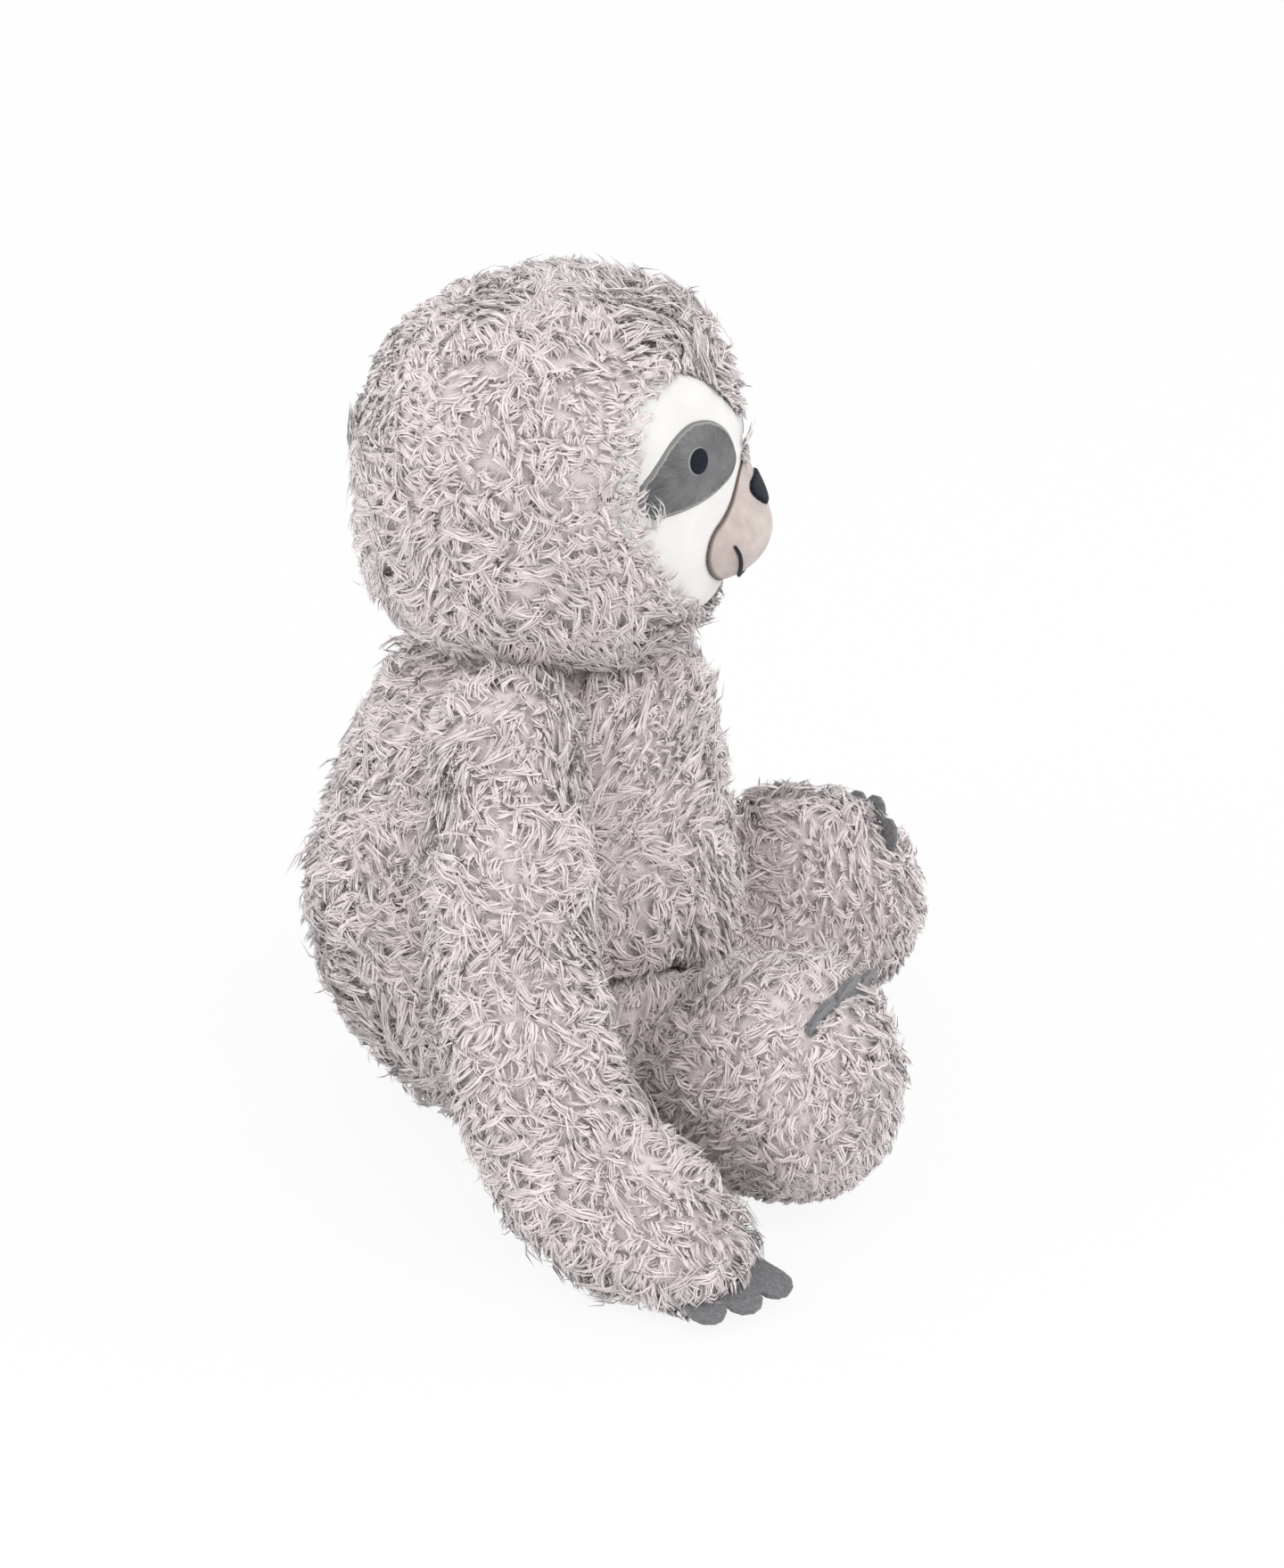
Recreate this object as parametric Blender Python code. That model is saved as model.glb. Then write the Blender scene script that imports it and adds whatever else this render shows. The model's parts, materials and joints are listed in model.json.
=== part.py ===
"""A sitting plush sloth, built as it is sewn: fur covers over stuffed fillings, a white
face panel with embroidered eyes, a padded muzzle, and felt claws on hands and feet.

Metres, +Z up. The sloth sits on the floor at Z = 0 and faces -Y. The origin is the centre of
the flat seat under its body. Its own left side is at +X. Everything follows from the sizes
below: each place and lesser size is a share of one of them, so the pieces move together.
"""
import math

import bmesh
import bpy
from mathutils import Matrix, Vector

# Fabric and clearances
COVER_THICKNESS = 0.0030
FILLING_GAP = 0.0005
FABRIC_GAP = 0.0003
SOCKET_CLEARANCE = 0.0012
NECK_CLEARANCE = 0.0010
CUT_OVERRUN = 0.0100
STUFFING_HOLE_RADIUS = 0.0100

# Body
SHOULDER_HEIGHT = 0.1600
TORSO_HALF_WIDTH = 0.0650
TORSO_HALF_DEPTH = 0.0710
NECK_THREAD_RADIUS = 0.0012

# Head
HEAD_HALF_WIDTH = 0.0650
HEAD_HALF_DEPTH = 0.0605
HEAD_HALF_HEIGHT = 0.0575

# Face and muzzle
FACE_RAISE = 0.0015
FACE_SINK = 0.0022
EYE_PATCH_THICKNESS = 0.0008
PUPIL_THICKNESS = 0.0007
MUZZLE_DEPTH = 0.0105
MUZZLE_CLOTH = 0.0015
NOSE_THICKNESS = 0.0008
MOUTH_THREAD_RADIUS = 0.0006

# Arms, from the shoulder ball down to the hand that lies on the floor
ARM_RADIUS = 0.0245
ARM_SPREAD = 0.0750
ARM_FORWARD = 0.0680

# Legs, from the hip ball out to the upturned foot
FOOT_HEIGHT = 0.0850
LEG_REACH = 0.0955
LEG_SPLAY_ANGLE = math.radians(27.5)

# Felt claws
FELT_THICKNESS = 0.0018
HAND_CLAW_LENGTH = 0.0120
HAND_CLAW_ROOT = 0.0070
FOOT_CLAW_LENGTH = 0.0085
FOOT_CLAW_ROOT = 0.0075

# The neck, as shares of the body: the head sits on a round dome and turns about its centre
DOME_RADIUS_SHARE = 0.985
DOME_SINK_SHARE = 0.6875
NECK_FORWARD_SHARE = 0.127
NECK_SEAM_SHARE = 0.484
HEAD_SEAT_SHARE = 0.828
HEAD_FORWARD_SHARE = 0.025
NECK_DOME_RADIUS = TORSO_HALF_WIDTH * DOME_RADIUS_SHARE
NECK_PIVOT_HEIGHT = SHOULDER_HEIGHT - NECK_DOME_RADIUS * DOME_SINK_SHARE
NECK_FORWARD = TORSO_HALF_DEPTH * NECK_FORWARD_SHARE
NECK_SEAM_RADIUS = NECK_DOME_RADIUS * NECK_SEAM_SHARE
HEAD_FORWARD = NECK_FORWARD + HEAD_HALF_DEPTH * HEAD_FORWARD_SHARE
HEAD_CENTRE_HEIGHT = NECK_PIVOT_HEIGHT + NECK_DOME_RADIUS * HEAD_SEAT_SHARE + HEAD_HALF_HEIGHT

# Shoulders and hips, as shares of the body and of the limb
SHOULDER_BALL_SHARE = 0.918
SHOULDER_SIDE_SHARE = 0.577
SHOULDER_FORWARD_SHARE = 0.056
SHOULDER_HEIGHT_SHARE = 0.969
HIP_BALL_SHARE = 0.394
HIP_SIDE_SHARE = 1.254
HIP_FORWARD_SHARE = 0.5915
HIP_HEIGHT_SHARE = 0.412
LEG_WIDTH_SHARE = 0.359
SHOULDER_BALL_RADIUS = ARM_RADIUS * SHOULDER_BALL_SHARE
SHOULDER_SIDE = TORSO_HALF_WIDTH * SHOULDER_SIDE_SHARE + ARM_RADIUS
SHOULDER_FORWARD = TORSO_HALF_DEPTH * SHOULDER_FORWARD_SHARE
SHOULDER_PIVOT_HEIGHT = SHOULDER_HEIGHT * SHOULDER_HEIGHT_SHARE
HIP_BALL_RADIUS = FOOT_HEIGHT * HIP_BALL_SHARE
HIP_SIDE = HIP_BALL_RADIUS * HIP_SIDE_SHARE
HIP_FORWARD = TORSO_HALF_DEPTH * HIP_FORWARD_SHARE
HIP_PIVOT_HEIGHT = FOOT_HEIGHT * HIP_HEIGHT_SHARE
LEG_HALF_WIDTH = FOOT_HEIGHT * LEG_WIDTH_SHARE

# The face in the front view, as shares of the head's half width and half height
FACE_WIDTH_SHARE = 0.875
FACE_TOP_SHARE = 0.745
FACE_BOTTOM_SHARE = -0.745
EYE_INNER_SHARE = 0.200
EYE_LENGTH_SHARE = 0.650
EYE_BOTTOM_SHARE = 0.028
EYE_HEIGHT_SHARE = 0.470
EYE_MIDDLE_SHARES = (0.50, 0.45)
PUPIL_SHARES = (0.575, 0.287)
PUPIL_RADIUS_SHARES = (0.056, 0.078)
MUZZLE_WIDTH_SHARE = 0.496
MUZZLE_BOTTOM_SHARE = -0.565
MUZZLE_HEIGHT_SHARE = 0.655
MUZZLE_MIDDLE_SHARE = 0.345
MUZZLE_ROUND_SHARE = 2.3
MUZZLE_FULL_SHARE = 0.62
MUZZLE_LEAN_SHARE = 0.72
MUZZLE_LEAN_POWER = 1.25

# Nose and mouth, as shares of the muzzle's half width and height
NOSE_WIDTH_SHARE = 0.285
NOSE_BOTTOM_SHARE = 0.590
NOSE_HEIGHT_SHARE = 0.290
NOSE_MIDDLE_SHARE = 0.55
MOUTH_WIDTH_SHARE = 0.805
MOUTH_END_SHARE = 0.451
MOUTH_BOTTOM_SHARE = 0.085
MOUTH_POWER = 3.0

# Hand, felt claws and pellet bag
HAND_NOSE_SHARES = (0.62, 0.72)
HAND_CLAW_SPREAD_SHARE = 1.47
HAND_CLAW_ROUND_SHARE = 0.57
HAND_CLAW_ARCH_SHARE = 2.2
HAND_CLAW_WAY_SHARES = (0.72, -0.66, -0.28)
FOOT_CLAW_SPREAD_SHARE = 0.46
FOOT_CLAW_ROUND_SHARE = 0.72
FOOT_CLAW_ARCH_SHARE = 0.80
FOOT_CLAW_LEAN_SHARE = 0.35
BAG_SHARES = (0.380, 0.200, 0.075)
BAG_BACKWARD_SHARE = 0.060
BAG_SLUMP_SHARE = 0.80

# Profile of the body: height, width, depth and forward lean, each as a share
TORSO_PROFILE_SHARES = (
    (0.000, 0.385, 0.325, 0.20),
    (0.031, 0.540, 0.475, 0.25),
    (0.088, 0.690, 0.625, 0.25),
    (0.188, 0.845, 0.800, 0.20),
    (0.344, 0.960, 0.945, 0.05),
    (0.500, 0.985, 0.985, 0.00),
    (0.656, 0.925, 0.920, 0.20),
    (0.812, 0.850, 0.820, 0.50),
    (0.930, 0.765, 0.730, 0.80),
)
DOME_RING_SHARES = (1.00, 0.75, 0.50, 0.25)

# Outline of the white face from the brow dip over one cheek to the chin: width and height
FACE_OUTLINE_SHARES = (
    (0.000, 0.742), (0.170, 0.815), (0.305, 0.903), (0.390, 0.958), (0.526, 1.000),
    (0.663, 0.993), (0.789, 0.953), (0.891, 0.889), (0.960, 0.809), (0.994, 0.701),
    (1.000, 0.581), (0.983, 0.466), (0.926, 0.352), (0.834, 0.245), (0.686, 0.138),
    (0.480, 0.050), (0.240, 0.007), (0.000, 0.000),
)

# Outline of an eye patch, a drop lying on its side: along it and up it
EYE_PATCH_SHARES = (
    (0.000, 0.280), (0.050, 0.490), (0.165, 0.730), (0.305, 0.895), (0.430, 0.975),
    (0.557, 1.000), (0.660, 0.955), (0.763, 0.857), (0.846, 0.728), (0.928, 0.570),
    (0.985, 0.450), (1.000, 0.340), (0.990, 0.120), (0.920, 0.015), (0.840, 0.000),
    (0.705, 0.006), (0.487, 0.034), (0.287, 0.079), (0.095, 0.140),
)

# Outline of the muzzle, one half from the bridge of the nose to the chin: width and height
MUZZLE_OUTLINE_SHARES = (
    (0.00, 1.000), (0.16, 0.990), (0.30, 0.940), (0.42, 0.863), (0.56, 0.763),
    (0.74, 0.676), (0.92, 0.605), (1.00, 0.500), (1.00, 0.351), (0.87, 0.200),
    (0.61, 0.069), (0.30, 0.010), (0.00, 0.000),
)

# Outline of the nose, one half from its top edge to its lower point: width and height
NOSE_OUTLINE_SHARES = (
    (0.00, 1.00), (0.38, 1.00), (0.76, 0.95), (1.00, 0.74), (0.88, 0.46), (0.56, 0.20),
    (0.24, 0.03), (0.00, 0.00),
)

# Centre line of an arm between shoulder and hand: forward, sideways and height shares of
# its reach, then its radius across and up as shares of the arm's radius
ARM_LINE_SHARES = (
    (0.010, 0.107, 0.930, 0.80, 0.80),
    (0.030, 0.267, 0.790, 0.97, 0.97),
    (0.050, 0.387, 0.612, 0.98, 0.98),
    (0.120, 0.493, 0.438, 1.00, 1.00),
    (0.225, 0.610, 0.268, 1.01, 1.01),
    (0.420, 0.735, 0.128, 1.02, 1.00),
    (0.700, 0.867, 0.056, 1.00, 0.93),
    (0.880, 0.940, 0.022, 0.96, 0.74),
    (1.000, 1.000, 0.000, 0.84, 0.62),
)

# Leg sections past the hip: reach, half width, the heights of the underside, of the right
# leg's top and of the left leg's top. The left thigh is drawn up and its foot leans back.
LEG_SECTION_SHARES = (
    (0.10, 1.020, 0.044, 0.760, 0.760),
    (0.22, 0.900, 0.000, 0.762, 0.762),
    (0.34, 0.960, 0.000, 0.862, 0.890),
    (0.46, 0.985, 0.006, 0.950, 1.000),
    (0.59, 0.975, 0.024, 0.985, 0.965),
    (0.72, 0.940, 0.048, 1.000, 0.915),
    (0.83, 0.850, 0.095, 0.955, 0.850),
    (0.92, 0.660, 0.185, 0.860, 0.755),
    (0.98, 0.360, 0.325, 0.710, 0.625),
)
FOOT_CLAW_SECTION_COUNT = 6

# Facet counts and curve powers
BODY_SIDE_COUNT = 26
HEAD_SIDE_COUNT = 28
HEAD_RING_COUNT = 12
LIMB_SIDE_COUNT = 16
SOCKET_SIDE_COUNT = 18
INNER_SOCKET_SIDE_COUNT = 10
NECK_SIDE_COUNT = 30
BAG_SIDE_COUNT = 12
BALL_RING_COUNT = 3
FACE_RING_COUNT = 5
EYE_RING_COUNT = 3
PATCH_RING_COUNT = 2
MUZZLE_RING_COUNT = 4
MUZZLE_BACK_RING_COUNT = 3
MOUTH_STEP_COUNT = 14
THREAD_SIDE_COUNT = 6
LOBE_COUNT = 3
LOBE_STEP_COUNT = 6
ROOT_STEP_COUNT = 4
TORSO_POWER = 2.1
HEAD_PLAN_POWER = 2.0
HEAD_RISE_POWER = 2.9
LEG_POWER = 2.15
SMOOTH_ANGLE = math.radians(40)
SIDES = {"right": -1, "left": 1}
LEG_TOP_COLUMNS = {-1: 0, 1: 1}

# Finishes: linear colour and roughness
FINISHES = {
    "fur": ((0.58, 0.53, 0.53), 0.95),
    "white": ((0.83, 0.80, 0.77), 0.95),
    "taupe": ((0.52, 0.43, 0.41), 0.90),
    "grey": ((0.20, 0.21, 0.22), 0.60),
    "black": ((0.010, 0.012, 0.020), 0.50),
    "felt": ((0.15, 0.145, 0.155), 0.95),
    "thread": ((0.50, 0.45, 0.45), 0.80),
    "filling": ((0.85, 0.85, 0.85), 1.00),
    "pellets": ((0.70, 0.68, 0.60), 0.90),
}

UP = Vector((0, 0, 1))
ACROSS = Vector((1, 0, 0))
BACKWARD = Vector((0, 1, 0))
NECK_PIVOT = Vector((0, -NECK_FORWARD, NECK_PIVOT_HEIGHT))
HEAD_CENTRE = Vector((0, -HEAD_FORWARD, HEAD_CENTRE_HEIGHT))
SHOULDER_PIVOT = Vector((SHOULDER_SIDE, -SHOULDER_FORWARD, SHOULDER_PIVOT_HEIGHT))
HIP_PIVOT = Vector((HIP_SIDE, -HIP_FORWARD, HIP_PIVOT_HEIGHT))
LEG_WAY = Vector((math.sin(LEG_SPLAY_ANGLE), -math.cos(LEG_SPLAY_ANGLE), 0))


def clear_scene():
    """Remove whatever the open scene holds."""
    for item in list(bpy.data.objects):
        bpy.data.objects.remove(item, do_unlink=True)


def material(name, colour, roughness):
    """A plain cloth-like finish."""
    finish = bpy.data.materials.new(name)
    finish.use_nodes = True
    shader = finish.node_tree.nodes["Principled BSDF"]
    shader.inputs["Base Color"].default_value = (*colour, 1)
    shader.inputs["Roughness"].default_value = roughness
    shader.inputs["Metallic"].default_value = 0
    return finish


def place(name, bm, finish=None, side=1):
    """Turn a mesh into an object; side -1 mirrors it, and with no finish it is a cutter."""
    bmesh.ops.scale(bm, vec=(side, 1, 1), verts=bm.verts)
    bmesh.ops.recalc_face_normals(bm, faces=bm.faces)
    mesh = bpy.data.meshes.new(name)
    bm.to_mesh(mesh)
    bm.free()
    item = bpy.data.objects.new(name, mesh)
    bpy.context.collection.objects.link(item)
    if finish is None:
        item.hide_render = True
        item.display_type = "WIRE"
    else:
        mesh.materials.append(finish)
        mesh.shade_smooth()
        mesh.set_sharp_from_angle(angle=SMOOTH_ANGLE)
    return item


def cut(item, cutter):
    """Take one solid out of another."""
    step = item.modifiers.new("cut_" + cutter.name, "BOOLEAN")
    step.operation = "DIFFERENCE"
    step.solver = "EXACT"
    step.object = cutter


def set_origin(item, pivot):
    """Move an object's origin to its joint without moving its mesh."""
    item.data.transform(Matrix.Translation(-Vector(pivot)))
    item.location = pivot


def rounded(angle, power):
    """A point of a unit outline between a circle (power 2) and a square (large power)."""
    across = math.copysign(abs(math.cos(angle)) ** (2 / power), math.cos(angle))
    along = math.copysign(abs(math.sin(angle)) ** (2 / power), math.sin(angle))
    return across, along


def ring(centre, side, rise, half_side, half_rise, count, power=2):
    """One section of a form: an outline in the plane of two directions."""
    points = []
    for step in range(count):
        across, along = rounded(math.tau * step / count, power)
        points.append(centre + side * (half_side * across) + rise * (half_rise * along))
    return points


def loft(rings, first, last):
    """A closed skin through rings of equal count, closed at each end by a point."""
    bm = bmesh.new()
    rows = [[bm.verts.new(point) for point in points] for points in rings]
    for row, following in zip(rows, rows[1:]):
        for step in range(len(row)):
            after = (step + 1) % len(row)
            bm.faces.new((row[step], row[after], following[after]))
            bm.faces.new((row[step], following[after], following[step]))
    for row, end in ((rows[0], bm.verts.new(first)), (rows[-1], bm.verts.new(last))):
        for step in range(len(row)):
            bm.faces.new((row[step], row[(step + 1) % len(row)], end))
    bmesh.ops.recalc_face_normals(bm, faces=bm.faces)
    return bm


def thinned(rings, coarse):
    """Every second ring and point, for a bulging form that is hidden inside another."""
    if not coarse:
        return rings
    kept = rings[:-1:2] + [rings[-1]]
    return [points[::2] for points in kept]


def slimmed(rings, coarse):
    """Every second point of every ring, for a bent form that is hidden inside another."""
    return [points[::2] for points in rings] if coarse else rings


def grow(bm, distance):
    """Move a skin outwards along its normals, or inwards when the distance is negative."""
    bm.normal_update()
    moves = [(v, v.normal * (distance * v.calc_shell_factor())) for v in bm.verts]
    for vert, move in moves:
        vert.co += move
    return bm


def add_ball(bm, centre, radius, count):
    """Add a sphere to a mesh."""
    bmesh.ops.create_uvsphere(bm, u_segments=count, v_segments=count // 2, radius=radius,
                              matrix=Matrix.Translation(centre))
    return bm


def rod(start, end, radius, count):
    """A round rod between two points."""
    bm = bmesh.new()
    line = end - start
    turn = line.to_track_quat("Z", "Y").to_matrix().to_4x4()
    bmesh.ops.create_cone(bm, cap_ends=True, segments=count, radius1=radius, radius2=radius,
                          depth=line.length, matrix=Matrix.Translation((start + end) / 2) @ turn)
    return bm


def joint_balls(extra, count):
    """The four balls of shoulders and hips, larger by a given clearance."""
    bm = bmesh.new()
    for side in SIDES.values():
        for centre, radius in ((SHOULDER_PIVOT, SHOULDER_BALL_RADIUS),
                               (HIP_PIVOT, HIP_BALL_RADIUS)):
            add_ball(bm, Vector((centre.x * side, centre.y, centre.z)), radius + extra, count)
    return bm


def torso_skin(coarse=False):
    """The pear-shaped body: a flat seat, a full belly and a round top under the head."""
    rings = []
    for height, width, thickness, lean in TORSO_PROFILE_SHARES:
        centre = UP * (SHOULDER_HEIGHT * height) - BACKWARD * (NECK_FORWARD * lean)
        rings.append(ring(centre, ACROSS, BACKWARD, TORSO_HALF_WIDTH * width,
                          TORSO_HALF_DEPTH * thickness, BODY_SIDE_COUNT, TORSO_POWER))
    dome_angle = math.acos(DOME_SINK_SHARE)
    for share in DOME_RING_SHARES:
        angle = dome_angle * share
        radius = NECK_DOME_RADIUS * math.sin(angle)
        centre = NECK_PIVOT + UP * (NECK_DOME_RADIUS * math.cos(angle))
        rings.append(ring(centre, ACROSS, BACKWARD, radius, radius, BODY_SIDE_COUNT))
    seat = Vector((0, 0, 0))
    return loft(thinned(rings, coarse), seat, NECK_PIVOT + UP * NECK_DOME_RADIUS)


def head_skin(coarse=False):
    """The full round head, a little squarer than an ellipsoid."""
    rings = []
    for band in range(1, HEAD_RING_COUNT):
        out, rise = rounded(math.pi * (band / HEAD_RING_COUNT - 0.5), HEAD_RISE_POWER)
        centre = HEAD_CENTRE + UP * (HEAD_HALF_HEIGHT * rise)
        rings.append(ring(centre, ACROSS, BACKWARD, HEAD_HALF_WIDTH * out,
                          HEAD_HALF_DEPTH * out, HEAD_SIDE_COUNT, HEAD_PLAN_POWER))
    bottom = HEAD_CENTRE - UP * HEAD_HALF_HEIGHT
    top = HEAD_CENTRE + UP * HEAD_HALF_HEIGHT
    return loft(thinned(rings, coarse), bottom, top)


def across_of(way):
    """The steepest direction square to a way, and the level direction square to both."""
    level = (UP - way * UP.dot(way)).normalized()
    return level, way.cross(level)


def half_ball(pivot, way, radius, side, rise):
    """Rings of the rear half of a limb's ball."""
    rings = []
    for band in range(1, BALL_RING_COUNT + 1):
        angle = math.pi / 2 * band / BALL_RING_COUNT
        size = radius * math.sin(angle)
        centre = pivot - way * (radius * math.cos(angle))
        rings.append(ring(centre, side, rise, size, size, LIMB_SIDE_COUNT))
    return rings


def arm_line():
    """Points along the middle of the left arm, past the shoulder."""
    hand_height = ARM_RADIUS * ARM_LINE_SHARES[-1][-1]
    points = []
    for forward, out, height, _, _ in ARM_LINE_SHARES:
        x = SHOULDER_SIDE + ARM_SPREAD * out
        y = -SHOULDER_FORWARD - ARM_FORWARD * forward
        z = hand_height + (SHOULDER_PIVOT_HEIGHT - hand_height) * height
        points.append(Vector((x, y, z)))
    return points


def arm_way():
    """The way the left arm leaves its shoulder."""
    return (arm_line()[0] - SHOULDER_PIVOT).normalized()


def arm_skin(coarse=False, inset=0.0, side=1):
    """A long arm: a ball in the shoulder, a hanging sleeve and a forearm on the floor."""
    line = [SHOULDER_PIVOT] + arm_line()
    ball_radius = SHOULDER_BALL_RADIUS - inset
    level, depth = across_of(arm_way())
    rings = half_ball(SHOULDER_PIVOT, arm_way(), ball_radius, depth, level)
    for step, shares in enumerate(ARM_LINE_SHARES, 1):
        wide, high = (ARM_RADIUS * share - inset for share in shares[3:])
        ahead = line[min(step + 1, len(line) - 1)]
        level, depth = across_of((ahead - line[step - 1]).normalized())
        rings.append(ring(line[step], depth, level, wide, high, LIMB_SIDE_COUNT))
    way = (line[-1] - line[-2]).normalized()
    reach, size = HAND_NOSE_SHARES
    nose = line[-1] + way * (high * reach)
    rings.append(ring(nose, depth, level, wide * size, high * size, LIMB_SIDE_COUNT))
    top = SHOULDER_PIVOT - arm_way() * ball_radius
    return loft(slimmed(rings, coarse), top, line[-1] + way * high)


def leg_skin(coarse=False, inset=0.0, side=1):
    """A short leg: a ball in the hip, a thick thigh and a tall foot with its sole forward."""
    across = LEG_WAY.cross(UP)
    ball_radius = HIP_BALL_RADIUS - inset
    length = LEG_REACH - inset
    floor = Vector((HIP_PIVOT.x, HIP_PIVOT.y, 0))
    rings = half_ball(HIP_PIVOT, LEG_WAY, ball_radius, across, UP)
    for reach, width, low, *tops in LEG_SECTION_SHARES:
        high = tops[LEG_TOP_COLUMNS[side]]
        middle = FOOT_HEIGHT * (low + high) / 2
        centre = floor + LEG_WAY * (length * reach) + UP * middle
        rings.append(ring(centre, across, UP, LEG_HALF_WIDTH * width - inset,
                          FOOT_HEIGHT * (high - low) / 2 - inset, LIMB_SIDE_COUNT, LEG_POWER))
    sole = floor + LEG_WAY * length + UP * middle
    return loft(slimmed(rings, coarse), HIP_PIVOT - LEG_WAY * ball_radius, sole)


def head_depth(x, z, raised):
    """How far the front of the head stands before its centre at a point of the front view."""
    half_width = HEAD_HALF_WIDTH + raised
    half_height = HEAD_HALF_HEIGHT + raised
    rise = (abs(z - HEAD_CENTRE_HEIGHT) / half_height) ** HEAD_RISE_POWER
    out = (1 - rise) ** (HEAD_PLAN_POWER / HEAD_RISE_POWER)
    room = max(out - (abs(x) / half_width) ** HEAD_PLAN_POWER, 0)
    return (HEAD_HALF_DEPTH + raised) * room ** (1 / HEAD_PLAN_POWER)


def on_head(x, z, raised):
    """A point on the front of the head, raised off it."""
    return Vector((x, -HEAD_FORWARD - head_depth(x, z, raised), z))


def face_point(across, up):
    """A point of the front view from its shares of the head's half width and half height."""
    return HEAD_HALF_WIDTH * across, HEAD_CENTRE_HEIGHT + HEAD_HALF_HEIGHT * up


def mirrored(half):
    """A whole outline from the half that runs from the top of the middle line to its foot."""
    return half + [(-x, z) for x, z in reversed(half[1:-1])]


def toward(outline, centre, share, inset=0.0):
    """An outline drawn in towards a centre by a share and then by a fixed distance."""
    points = []
    for x, z in outline:
        dx, dz = (x - centre[0]) * share, (z - centre[1]) * share
        length = math.hypot(dx, dz)
        keep = max(length - inset, 0) / length if length else 0
        points.append((centre[0] + dx * keep, centre[1] + dz * keep))
    return points


def patch(outline, centre, count, back, front):
    """A thin piece laid on a curved surface: two skins given by functions of x and z."""
    shares = [(band + 1) / count for band in range(count)]
    rings = [[back(*point) for point in toward(outline, centre, share)] for share in shares]
    rings += [[front(*point) for point in toward(outline, centre, share)]
              for share in reversed(shares)]
    return loft(rings, back(*centre), front(*centre))


def face_outline():
    """The white face in the front view."""
    rise = FACE_TOP_SHARE - FACE_BOTTOM_SHARE
    return mirrored([face_point(FACE_WIDTH_SHARE * x, FACE_BOTTOM_SHARE + rise * z)
                     for x, z in FACE_OUTLINE_SHARES])


def face_centre():
    """A point from which the whole edge of the face can be seen."""
    return face_point(0, (FACE_BOTTOM_SHARE + FACE_TOP_SHARE) / 2)


def eye_point(along, up):
    """A point of the left eye patch from its shares along and up it."""
    return face_point(EYE_INNER_SHARE + EYE_LENGTH_SHARE * along,
                      EYE_BOTTOM_SHARE + EYE_HEIGHT_SHARE * up)


def pupil_outline():
    """The left pupil in the front view, squeezed to look round on the side of the head."""
    points = []
    for step in range(LIMB_SIDE_COUNT):
        angle = math.tau * step / LIMB_SIDE_COUNT
        points.append(face_point(PUPIL_SHARES[0] + PUPIL_RADIUS_SHARES[0] * math.cos(angle),
                                 PUPIL_SHARES[1] + PUPIL_RADIUS_SHARES[1] * math.sin(angle)))
    return points


def muzzle_point(across, up):
    """A point of the front view from its shares of the muzzle's half width and height."""
    return face_point(MUZZLE_WIDTH_SHARE * across, MUZZLE_BOTTOM_SHARE + MUZZLE_HEIGHT_SHARE * up)


def muzzle_outline():
    """The muzzle's seam line in the front view."""
    return mirrored([muzzle_point(*shares) for shares in MUZZLE_OUTLINE_SHARES])


def muzzle_centre():
    """The middle of the muzzle in the front view."""
    return muzzle_point(0, MUZZLE_MIDDLE_SHARE)


def muzzle_share(x, z):
    """How far out a point lies between the muzzle's centre (0) and its seam (1)."""
    centre = muzzle_centre()
    angle = math.atan2(z - centre[1], x - centre[0])
    length = math.hypot(x - centre[0], z - centre[1])
    outline = muzzle_outline()
    for (ax, az), (bx, bz) in zip(outline, outline[1:] + outline[:1]):
        start = math.atan2(az - centre[1], ax - centre[0])
        end = math.atan2(bz - centre[1], bx - centre[0])
        span = (start - end) % math.tau
        past = (start - angle) % math.tau
        if past <= span:
            share = past / span
            near = math.hypot(ax - centre[0], az - centre[1])
            far = math.hypot(bx - centre[0], bz - centre[1])
            return length / (near * (1 - share) + far * share)
    return 1.0


def muzzle_front(x, z, inset=0.0):
    """A point on the front of the padded muzzle, or inside it by a given cloth."""
    share = min(muzzle_share(x, z), 1)
    middle, top = muzzle_centre()[1], muzzle_point(0, 1)[1]
    rise = min(max((z - middle) / (top - middle), 0), 1)
    lean = 1 - MUZZLE_LEAN_SHARE * rise ** MUZZLE_LEAN_POWER
    bulge = MUZZLE_DEPTH * lean * (1 - share ** MUZZLE_ROUND_SHARE) ** MUZZLE_FULL_SHARE
    return on_head(x, z, FACE_RAISE + FABRIC_GAP) - BACKWARD * max(bulge - inset, 0)


def off_muzzle(x, z, raised):
    """A point raised off the front of the muzzle along its normal."""
    point = muzzle_front(x, z)
    beside = muzzle_front(x + FABRIC_GAP, z) - point
    above = muzzle_front(x, z + FABRIC_GAP) - point
    return point + beside.cross(above).normalized() * raised


def muzzle_rings(inset):
    """Sections of the muzzle's dome from its apex down to its edge."""
    outline = toward(muzzle_outline(), muzzle_centre(), 1, inset)
    rings = []
    for band in range(MUZZLE_RING_COUNT - 1, -1, -1):
        share = math.cos(math.pi / 2 * band / MUZZLE_RING_COUNT)
        points = toward(outline, muzzle_centre(), share)
        rings.append([muzzle_front(x, z, inset) for x, z in points])
    return rings


def muzzle_foot(inset, share=1):
    """The edge of the muzzle where it lies on the face, or a smaller ring inside it."""
    outline = toward(toward(muzzle_outline(), muzzle_centre(), 1, inset), muzzle_centre(), share)
    return [on_head(x, z, FACE_RAISE + FABRIC_GAP) for x, z in outline]


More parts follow.
